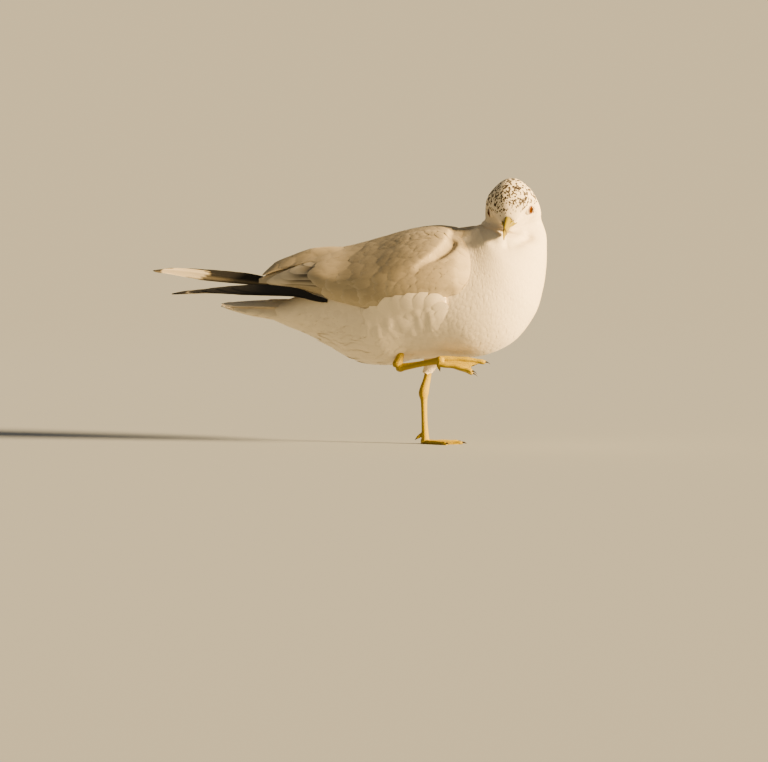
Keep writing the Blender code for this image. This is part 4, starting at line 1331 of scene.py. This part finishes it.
# Each folded wing tip: its middle line, then half height, and lean from upright in degrees.
WING_TIPS = {
    "right": [
        ((-102, -44.5, 147), 2.5, 26),
        ((-121, -42, 150.3), 4.5, 30),
        ((-143, -35.5, 155.5), 8.0, 36),
        ((-184, -24, 157), 8.0, 42),
        ((-227, -11, 157), 4.8, 48),
        ((-262, -1, 154.8), 2.4, 54),
        ((-289, 6, 153.5), 0.9, 58),
    ],
    "left": [
        ((-140, 24, 156), 5.0, 40),
        ((-172, 14, 161), 6.0, 36),
        ((-195, 9, 165.5), 8.6, 30),
        ((-228, 0, 170.0), 9.2, 24),
        ((-266, -9, 174.5), 5.5, 18),
        ((-292, -15, 177), 2.6, 16),
        ((-303, -17.5, 178), 0.9, 16),
    ],
}


TIP_COLUMNS = 24
PRIMARY_WIDTHS = np.array([10.5, 12, 13, 13, 12.5, 12])
PRIMARY_SHORTER = np.array([0, 6, 22, 40, 58, 76.0])  # how far each primary ends before the longest
LONGEST_PRIMARY = 200


def tip_sheet(word, side):
    """A blade along the wing tip's middle line, as deep as the stacked primaries, rear end first."""
    rows = np.array([(*middle, high, lean) for middle, high, lean in WING_TIPS[word]], float)
    rows = smooth_rows(rows, np.linspace(0, len(rows) - 1, 160))[::-1]
    lean = np.radians(rows[:, 4])
    up = np.stack([0 * lean, -side * np.sin(lean), np.cos(lean)], 1)
    q = np.linspace(1, -1, TIP_COLUMNS)
    depth = np.maximum(rows[:, 3], 3.0)
    grid = rows[:, None, :3] + up[:, None] * (q[None] * depth[:, None])[..., None]
    return Sheet(grid, wraps=False, flip=side < 0)


def primary_masks(s, a, feathers):
    """Black vanes; the two outermost carry a long mirror short of the tip, with a slanting end, greyed part
    way as painted shade. On the far wing the black is lightened along the middle of each vane's outer part: a
    painted sheen of low sun.
    """
    order = np.arange(len(feathers["u"]))[:, None, None]
    reach = feathers["length"][:, None, None] * (1 - s)
    mirror = np.where(order == 0, step(56, 54, reach + 7 * a) * step(8, 10, reach), 0)
    mirror = np.where(order == 1, step(47, 45, reach + 7 * a) * step(13, 15, reach), mirror)
    # painted sheen: the far wing's black lightened towards brown, as if low sun gleamed through it
    sheen = 0.32 * bump(a - 0.2, 0.45) * step(170, 110, reach) * np.where(feathers["sheet"].flip, 0, 1)
    # the mirror is mixed 0.4 of the way to grey: painted shade over white
    return {"black": 1 - np.maximum(mirror, sheen), "grey": 1 - 0.6 * step(0.4, 0.6, mirror)}


class GULL_OT_wing_tips(Operator):
    """The black primaries that show behind the tertials"""

    bl_idname = "gull.wing_tips"
    bl_label = "Wing tips"

    def execute(self, context):
        count = len(PRIMARY_WIDTHS)
        level = np.linspace(-0.9, 0.9, count)
        for word, side in (("right", -1), ("left", 1)):
            sheet = tip_sheet(word, side)
            along = sheet.steps[:, TIP_COLUMNS // 2, 0]
            length = np.minimum(along.sum() * 0.97, LONGEST_PRIMARY) - PRIMARY_SHORTER
            start = np.interp(PRIMARY_SHORTER + length, np.cumsum(along), np.arange(sheet.rows))
            part = dict(roots=(start, np.full(count, (TIP_COLUMNS - 1) / 2)), length=length,
                        width=PRIMARY_WIDTHS, heading=np.linspace(0.018, -0.020, count), low=level,
                        high=level, rows=40, columns=9, tip=0.22, blunt=0.02, thick=0.5, body_from=0.85,
                        masks=primary_masks)
            made = tract("primaries_" + word, sheet, [part], 51)
            join("primaries_" + word + "_vanes", made, "black_plumage", f"wing_{word}_primaries")
        return {"FINISHED"}


# ---------------------------------------------------------------- tail

TAIL_ROOT_X, TAIL_TIP_X = -128.0, -230.0
TAIL_TOP, TAIL_DIP, TAIL_DROOP = 147.3, 4.3, 7.0
TAIL_HALF = (16.0, 28.0)
TAIL_THICK = (22.0, 1.6)
TAIL_FULLNESS = 2.5
TAIL_CORNER = 6.0  # how far the corners reach back less than the middle
TAIL_FLESH_INSET = 1.8
# Across the fan from -1 to 1, the outermost lowest in the stack.
TAIL_ORDER = np.array([-5.5, 5.5, -4.5, 4.5, -3.5, 3.5, -2.5, 2.5, -1.5, 1.5, -0.5, 0.5]) / 5.5


def tail_row(rows):
    """Each row's x, half width and depth, from the tip to the root."""
    share = np.linspace(1, 0, rows)[:, None]
    half = TAIL_HALF[0] + share * (TAIL_HALF[1] - TAIL_HALF[0])
    thick = TAIL_THICK[1] + (TAIL_THICK[0] - TAIL_THICK[1]) * (1 - share**TAIL_FULLNESS)
    return share, TAIL_ROOT_X + share * (TAIL_TIP_X - TAIL_ROOT_X), half, thick


def tail_face(share, c):
    """The height of the fan's upper face: lower towards the tip, its sides drooping less there."""
    return TAIL_TOP - TAIL_DIP * share**3 - TAIL_DROOP * (1 - 0.8 * share**2) * c**2


def tail_shell(inset=0.0):
    """The whole tail as flat rings, tip to root: drooping at the sides by the square, pushed in by inset."""
    share, x, half, thick = tail_row(110)
    turn = np.linspace(0, 2 * math.pi, 72, endpoint=False)[None]
    c, s = np.cos(turn), np.sin(turn)
    middle = tail_face(share, c) - thick / 2
    z = middle + thick / 2 * s
    y = (half - inset) * c
    x = x + TAIL_CORNER * share**6 * c**4
    z = middle + (z - middle) * np.clip(1 - 2 * inset / thick, 0.25, 1)
    return Sheet(np.stack(np.broadcast_arrays(x, y, z), 2), wraps=True, flip=True)


def tail_top():
    """The fan's flat upper face, tip to root."""
    share, x, half, _ = tail_row(120)
    c = np.linspace(-1, 1, 60)[None]
    z = tail_face(share, c)
    x = x + TAIL_CORNER * share**6 * c**4
    return Sheet(np.stack(np.broadcast_arrays(x, half * c, z), 2), wraps=False)


class GULL_OT_tail(Operator):
    """The white tail: twelve broad feathers in a closed fan, with coverts above and below its root"""

    bl_idname = "gull.tail"
    bl_label = "Tail"

    def execute(self, context):
        top, shell = tail_top(), tail_shell()
        count = len(TAIL_ORDER)
        level = -1.4 + 0.1 * np.arange(count)
        vanes = dict(roots=(np.full(count, 116.0), 29.5 + 21 * TAIL_ORDER),
                     length=100 - 3.0 * np.abs(TAIL_ORDER) ** 3, width=14.5, heading=TAIL_ORDER * 0.035,
                     low=level, high=level, rows=26, columns=7, tip=0.55, blunt=0.03, thick=0.4,
                     body_from=0.1, masks=white_masks)
        rng = np.random.default_rng(61)
        share = (shell.grid[..., 0] - TAIL_ROOT_X) / (TAIL_TIP_X - TAIL_ROOT_X)
        covered = np.where(shell.normal[..., 2] > 0.3, 0.30, 0.72)  # above the fan, and below it
        u, v = shell.scatter(np.where(share < covered, 5.5, 0), 62)
        coverts = dict(roots=(u, v), length=27 + 6 * rng.uniform(0, 1, len(u)), width=13,
                       heading=rng.normal(0, 0.05, len(u)), low=-1.6, high=0.3 + rng.uniform(0, 0.5, len(u)),
                       rows=10, columns=5, tip=0.4, blunt=0.15, thick=0.12, masks=white_masks)
        made = tract("tail", top, [vanes], 64) + tract("tail_coverts", shell, [coverts], 66)
        join("tail_feathers", made, "white_plumage", "tail")
        add_flesh("tail_flesh", tail_shell(TAIL_FLESH_INSET).grid[8:, ::2], "white_plumage")
        return {"FINISHED"}


# ---------------------------------------------------------------- legs and feet

LEFT_ANKLE, LEFT_SOLE = np.array((-17.5, 2.5, 52.5)), np.array((-15.5, 0.0, 0.0))
RIGHT_HEEL, RIGHT_TOE_ROOT = np.array((-37.0, -24.0, 80.5)), np.array((10.5, -35.0, 88.5))
FOOT_HUB = np.array((-16.8, 0.0, 0.0))
TOES_STANDING = ((-31, 37.0), (1, 45.5), (32, 41.5))  # bearing in degrees to the left, length
# Each lifted toe's start, measured from the toes' root, its reach, and its radius.
TOES_LIFTED = {
    "outer": ((-0.2, -3.2, -4.6), (38.5, 0.6, -8.0), 2.7),
    "middle": ((-0.5, 0.6, 1.0), (51.5, 9.0, -4.4), 3.0),
    "inner": ((-0.2, 4.8, -4.6), (34.6, 9.5, -11.6), 2.6),
}
TOE_SHARES = np.array([0.0, 0.12, 0.3, 0.5, 0.7, 0.84, 0.9])
TOE_SWELL = np.array([1.0, 1.05, 0.84, 0.96, 0.78, 0.86, 0.62])
TOE_SCUTES = {"spacing": 1.8, "depth": 0.2}
# Claws: steps along the toe and heights. The standing foot's steps are in toe lengths, the lifted's in mm.
CLAW_STANDING = ((0, 1.7), (0.05, 2.0), (0.10, 1.5), (0.13, 0.45))
CLAW_LIFTED = ((-1.5, 0.2), (0.8, 0.5), (3.0, 0), (5.2, -1.6))
LEG_VOXEL, LEG_EASING = 0.42, 1
RING_STEP = 0.35  # distance between the rings of a limb
WEB_ROWS, WEB_COLUMNS, WEB_THICK = 24, 14, 0.95


def limb(path, radii, spacing=2.0, depth=0.16):
    """A scaly rod: circles along a smooth path, stepped by rings of scutes on its front and upper side."""
    path = np.asarray(path, float)
    length = np.linalg.norm(np.diff(path, axis=0), axis=1).sum()
    rings = int(length / RING_STEP) + 8
    tube = tube_rings(path, radii, rings, 40)
    middle = tube.mean(1, keepdims=True)
    out = tube - middle
    reach = np.linalg.norm(out, axis=2, keepdims=True)
    phase = np.linspace(0, length / spacing, rings)[:, None, None] % 1
    facing = out[..., :1] / np.maximum(reach, 1e-6) * 0.8 + 0.4
    scute = depth * (phase**0.5 - 0.5) * np.clip(facing, 0.15, 1)
    out = out * (1 + scute / np.maximum(reach, 0.5))
    return add_loft("limb", middle + out, bpy.data.materials["scaly_skin"])


def web(first, second, inset):
    """A thin plate between two toes, its free edge scalloped."""
    t = np.linspace(0, 1, WEB_ROWS)
    a, b = (smooth_rows(path, t * (len(path) - 1)) for path in (first, second))
    across = np.linspace(0, 1, WEB_COLUMNS)[None, :, None]
    pull = 1 - inset * np.sin(math.pi * across[..., 0]) ** 0.8
    spine = (a[:1] + b[:1]) / 2
    sheet = a[:, None] * (1 - across) + b[:, None] * across
    sheet = spine + (sheet - spine) * (1 - (1 - pull[..., None]) * t[:, None, None])
    sag = -0.6 * np.sin(math.pi * across) * t[:, None, None] * np.array([0, 0, 1.0])
    plate = Sheet(sheet + sag, wraps=False)
    half = plate.normal * WEB_THICK / 2
    rings = np.concatenate([plate.grid + half, (plate.grid - half)[:, ::-1]], 1)
    return add_loft("web", rings, bpy.data.materials["scaly_skin"])


def claw(path, radius):
    return add_loft("claw", tube_rings(path, np.array([1.0, 0.85, 0.5, 0.12]) * radius, 20, 14),
                    bpy.data.materials["claw"])


def leg_materials(colours):
    """Yellow skin, darker between its small scales; horn claws, dark and a little shiny."""
    _, tree, shader = new_material("scaly_skin", roughness=0.42)
    shader.inputs["Specular IOR Level"].default_value = 0.2
    cells = node(tree, "ShaderNodeTexVoronoi", {"Scale": 750.0}, feature="DISTANCE_TO_EDGE")
    gap = node(tree, "ShaderNodeMapRange", {"Value": cells.outputs[0], "From Max": 0.16, "To Min": 0.45})
    edge = gap.outputs[0]
    red, green, blue = colours.legs
    deeper = colour4((red * 0.8, green * 0.72, blue * 1.3))
    warm = mix(tree, noise(tree, 60.0, 3.0)["Fac"], colour4(colours.legs), deeper)
    tree.links.new(mix(tree, 0.6, warm, tone(tree, edge), "MULTIPLY"), shader.inputs["Base Color"])
    roughen(tree, shader, edge, 0.45, 0.0003)
    _, tree, shader = new_material("claw", roughness=0.35)
    colour = mix(tree, noise(tree, 400.0, 3.0)["Fac"], (0.012, 0.01, 0.008, 1), (0.05, 0.038, 0.028, 1))
    tree.links.new(colour, shader.inputs["Base Color"])


def offsets(origin, *steps):
    return [origin + step for step in steps]


class GULL_OT_legs(Operator):
    """The standing and the lifted leg, each one skin of shank, toes and webs, with separate claws"""

    bl_idname = "gull.legs"
    bl_label = "Legs"

    def execute(self, context):
        leg_materials(context.scene.gull_colours)
        self.standing()
        self.lifted()
        return {"FINISHED"}

    def finish_leg(self, word, parts, claws, nodes):
        """Fuses the leg's parts, and levels what would reach below the ground."""
        skin = remeshed("leg_" + word, parts, LEG_VOXEL, LEG_EASING, bpy.data.materials["scaly_skin"])
        points = mesh_points(skin)
        points[:, 2] = np.maximum(points[:, 2], 0.0)
        skin.data.vertices.foreach_set("co", (points * MM).astype(np.float32).ravel())
        skin.data.update()
        dress(skin, "leg_skin", *nodes)
        join("claws_" + word, claws, "leg_skin")

    def hind_toe(self, root, direction, parts, claws):
        """The short toe behind: a stub along the direction, with a small claw."""
        ahead = np.array(direction) / np.linalg.norm(direction)
        parts.append(limb(root + np.outer((0, 3.9, 6.5, 8.2), ahead), [1.8, 1.8, 1.5, 0.9]))
        claws.append(claw(root + np.outer((7.4, 8.5, 9.6, 10.4), ahead), 0.85))

    def standing(self):
        sole, ankle = LEFT_SOLE, LEFT_ANKLE
        shank = offsets(sole, (0.2, 0, 1.8), (0.3, 0, 4.4), (0.1, 0.1, 8))
        shank += offsets((sole + ankle) / 2, (0, 0, -2))
        shank += offsets(ankle, (0.2, 0, -9), (-0.3, 0, -2.6), (0, 0.2, 0.8), (0.9, 0.8, 5.5), (2.6, 2.2, 13),
                         (3.9, 3.5, 21))
        parts = [limb(shank, [4.2, 4.2, 3.8, 3.1, 3.4, 4.7, 5.1, 4.7, 3.9, 3.5]),
                 limb(offsets(FOOT_HUB, (-2.6, 0, 2.0), (0, 0, 2.2), (4, 0, 2.2)), [3.0, 4.2, 2.8])]
        paths, claws = [], []
        for bearing, length in TOES_STANDING:
            ahead = np.array([math.cos(math.radians(bearing)), math.sin(math.radians(bearing)), 0])
            rise = np.outer(2.0 - 0.7 * TOE_SHARES, [0, 0, 1])
            path = FOOT_HUB + np.outer(TOE_SHARES * length, ahead) + rise
            paths.append(path)
            parts.append(limb(path, TOE_SWELL * 2.45, **TOE_SCUTES))
            tip = FOOT_HUB + ahead * length * 0.87
            claws.append(claw([tip + ahead * length * d + (0, 0, z) for d, z in CLAW_STANDING], 1.1))
        low = np.array([0, 0, -1.1])
        for first, second in zip(paths[:-1], paths[1:]):
            parts.append(web(first + low, second + low, 0.24))
        self.hind_toe(sole + (-2.4, -0.4, 10.5), (-0.75, -0.15, -0.6), parts, claws)
        self.finish_leg("left", parts, claws, ("ankle_left", "tarsus_left", "foot_left", "hind_toe_left"))

    def lifted(self):
        heel, root = RIGHT_HEEL, RIGHT_TOE_ROOT
        thigh = offsets(heel, (2.6, -1.0, 15), (0.6, -0.6, 8), (-1.2, -0.2, 2.6), (-1.6, 0, -0.6))
        shank = offsets(heel, (-2.2, 0.4, -1.4), (1.5, -0.2, -0.8), (7.5, -1.6, 0.2))
        shank += offsets((heel + root) / 2, (0, 0, -0.8))
        shank += offsets(root, (-6.5, 1.4, -1.4), (-0.5, 0, -0.6), (3.0, 0.6, -1.2))
        parts = [limb(thigh, [3.5, 4.1, 5.4, 4.2]), limb(shank, [3.4, 4.7, 3.8, 3.1, 3.5, 4.5, 3.4])]
        paths, claws, nodes = {}, [], ["ankle_right", "tarsus_right", "hind_toe_right"]
        for word, (start, reach, radius) in TOES_LIFTED.items():
            reach = np.array(reach)
            arch = np.outer(np.sin(TOE_SHARES * math.pi), [0.4, 0, 1.6])
            path = root + start + np.outer(TOE_SHARES * 0.94 + 0.03, reach) + arch
            path[0] -= reach * 0.06
            paths[word] = path
            parts.append(limb(path, TOE_SWELL * radius * 0.98, **TOE_SCUTES))
            ahead = reach / np.linalg.norm(reach)
            claws.append(claw([path[-1] + ahead * d + (0, 0, z) for d, z in CLAW_LIFTED], 1.05))
            nodes.append("toe_right_" + word)
        for word in ("outer", "inner"):
            parts.append(web(paths["middle"][:-1], paths[word][:-1], 0.2))
            nodes.append("web_right_" + word)
        self.hind_toe(root + (-3.6, 0.4, -2.6), (0.35, -0.3, -0.9), parts, claws)
        self.finish_leg("right", parts, claws, nodes)


# ---------------------------------------------------------------- settings, stage and panel


def swatch(name, about, colour):
    return FloatVectorProperty(name=name, description=about, subtype="COLOR", default=colour)


class GullColours(PropertyGroup):
    """The plumage's and the bare parts' colours"""

    # White and Grey are warmed towards the tan of low sun: painted warm light over white and blue-grey
    # plumage.
    white: swatch("White", "White feathers", (0.86, 0.735, 0.51))
    grey: swatch("Grey", "Back and wings", (0.39, 0.315, 0.185))
    brown: swatch("Brown", "Crown spots", (0.020, 0.011, 0.006))
    black: swatch("Black", "Wing tips", (0.012, 0.011, 0.010))
    bill: swatch("Bill", "Bill horn", (0.21, 0.155, 0.0))
    legs: swatch("Legs", "Leg and foot skin", (0.46, 0.33, 0.0))
    iris: swatch("Iris", "Eye colour", (0.10, 0.030, 0.0006))
    lid: swatch("Lid", "Bare ring of the eye", (0.25, 0.15, 0.10))
    floor: swatch("Floor", "Studio floor", (0.33, 0.35, 0.375))


class GullCoat(PropertyGroup):
    """How the small feathers are laid"""

    spacing: FloatProperty(name="Spacing", description="Share of the natural root distance", default=1.0)
    length: FloatProperty(name="Length", description="Feather length in root distances", default=4.2)
    width: FloatProperty(name="Width", description="Feather width in root distances", default=2.9)


class GullStudio(PropertyGroup):
    """Camera and lights"""

    azimuth: FloatProperty(name="Azimuth", description="Camera's turn about the bird",
                           default=math.radians(15), subtype="ANGLE")
    elevation: FloatProperty(name="Elevation", description="Camera's height angle", default=math.radians(3),
                             subtype="ANGLE")
    distance: FloatProperty(name="Distance", description="Camera to bird", default=8.0, unit="LENGTH")
    view_width: FloatProperty(name="View width", description="Width seen at the bird", default=0.791,
                              unit="LENGTH")
    key: FloatProperty(name="Key light", description="Strength of the main light", default=30.0)
    fill: FloatProperty(name="Fill light", description="Power of the soft light", default=1.6, unit="POWER")


def camera_axes(studio):
    """The camera's right, up and backward directions."""
    a, e = studio.azimuth, studio.elevation
    right = Vector((math.cos(a), math.sin(a), 0))
    back = Vector((math.sin(a) * math.cos(e), -math.cos(a) * math.cos(e), math.sin(e)))
    return right, back.cross(right), back


SUN_ANGLE, SUN_COLOUR = math.radians(12), (1.0, 0.69, 0.33)
FILL_COLOUR, RIM_COLOUR, RIM_SHARE = (0.95, 0.92, 0.88), (0.95, 0.95, 0.95), 0.8
WORLD_COLOUR, WORLD_STRENGTH = (1.0, 0.93, 0.82), 0.20
AIM_RIGHT, AIM_UP = -0.0572, 0.0649  # what the camera looks at, from the standing foot's place, in metres
SENSOR = 36
FLOOR_SIZE = 4000000.0
LAMP_AIM = Vector((0, 0, 0.15))


class GULL_OT_stage(Operator):
    """Floor, lights and camera"""

    bl_idname = "gull.stage"
    bl_label = "Stage"

    def execute(self, context):
        studio = context.scene.gull_studio
        right, up, back = camera_axes(studio)
        self.camera(context, studio, right, up, back)
        self.floor(context)
        sun = right * 0.90 + back * 0.35 + Vector((0, 0, 0.27))
        self.lamp("SUN", "key", studio.key, SUN_COLOUR, sun, angle=SUN_ANGLE)
        soft = {
            "fill": (studio.fill, 1.8, FILL_COLOUR, (-1.5, 1.6, 1.2)),
            "rim": (studio.fill * RIM_SHARE, 1.2, RIM_COLOUR, (-0.6, -1.6, 1.6)),
        }
        for name, (power, size, colour, (aside, near, high)) in soft.items():
            place = right * aside + back * near + Vector((0, 0, high))
            self.lamp("AREA", name, power, colour, place - LAMP_AIM, size=size).location = place
        world = bpy.data.worlds.new("studio")
        context.scene.world = world
        world.use_nodes = True
        background = world.node_tree.nodes["Background"]
        background.inputs[0].default_value = colour4(WORLD_COLOUR)
        background.inputs[1].default_value = WORLD_STRENGTH
        return {"FINISHED"}

    def camera(self, context, studio, right, up, back):
        """Looks along the view at a point a little behind the bird's middle, as wide as the view."""
        data = bpy.data.cameras.new("camera")
        data.sensor_width = SENSOR
        data.lens = SENSOR * studio.distance / studio.view_width
        data.clip_end = 5000
        cam = add_object("camera", data)
        cam.location = right * AIM_RIGHT + up * AIM_UP + back * studio.distance
        cam.rotation_euler = back.to_track_quat("Z", "Y").to_euler()
        context.scene.camera = cam

    def floor(self, context):
        colour = context.scene.gull_colours.floor
        mat, tree, shader = new_material("floor", colour, 0.7)
        shader.inputs["Specular IOR Level"].default_value = 0.0
        mottled = mix(tree, 0.05, colour4(colour), noise(tree, 3.0)["Color"], "OVERLAY")
        tree.links.new(mottled, shader.inputs["Base Color"])
        corners = [(x * FLOOR_SIZE, y * FLOOR_SIZE, 0) for x, y in ((-1, -1), (1, -1), (1, 1), (-1, 1))]
        add_mesh("floor", corners, [[0, 1, 2, 3]], mat)

    def lamp(self, kind, name, power, colour, towards, **settings):
        """A light that shines from the direction towards."""
        data = bpy.data.lights.new(name, kind)
        data.energy, data.color = power, colour
        for key, value in settings.items():
            setattr(data, key, value)
        made = add_object(name, data)
        made.rotation_euler = towards.to_track_quat("Z", "Y").to_euler()
        return made


STEPS = (
    GULL_OT_stage,
    GULL_OT_skin,
    GULL_OT_coat,
    GULL_OT_eyes,
    GULL_OT_bill,
    GULL_OT_wings,
    GULL_OT_wing_tips,
    GULL_OT_tail,
    GULL_OT_legs,
)


class GULL_PT_panel(Panel):
    """The gull's parts, in the order in which they are made"""

    bl_label = "Gull"
    bl_idname = "GULL_PT_panel"
    bl_space_type = "VIEW_3D"
    bl_region_type = "UI"
    bl_category = "Gull"

    def draw(self, context):
        for group in (context.scene.gull_colours, context.scene.gull_coat, context.scene.gull_studio):
            for key in group.__annotations__:
                self.layout.prop(group, key)
        for made in STEPS:
            self.layout.operator(made.bl_idname)


GROUPS = {"gull_colours": GullColours, "gull_coat": GullCoat, "gull_studio": GullStudio}


def register():
    for cls in (*GROUPS.values(), *STEPS, GULL_PT_panel):
        bpy.utils.register_class(cls)
    for key, cls in GROUPS.items():
        setattr(bpy.types.Scene, key, PointerProperty(type=cls))


def unregister():
    for key in GROUPS:
        delattr(bpy.types.Scene, key)
    for cls in (GULL_PT_panel, *reversed(STEPS), *GROUPS.values()):
        bpy.utils.unregister_class(cls)


def main():
    register()
    for made in STEPS:
        area, verb = made.bl_idname.split(".")
        getattr(getattr(bpy.ops, area), verb)()


if __name__ == "__main__":
    main()
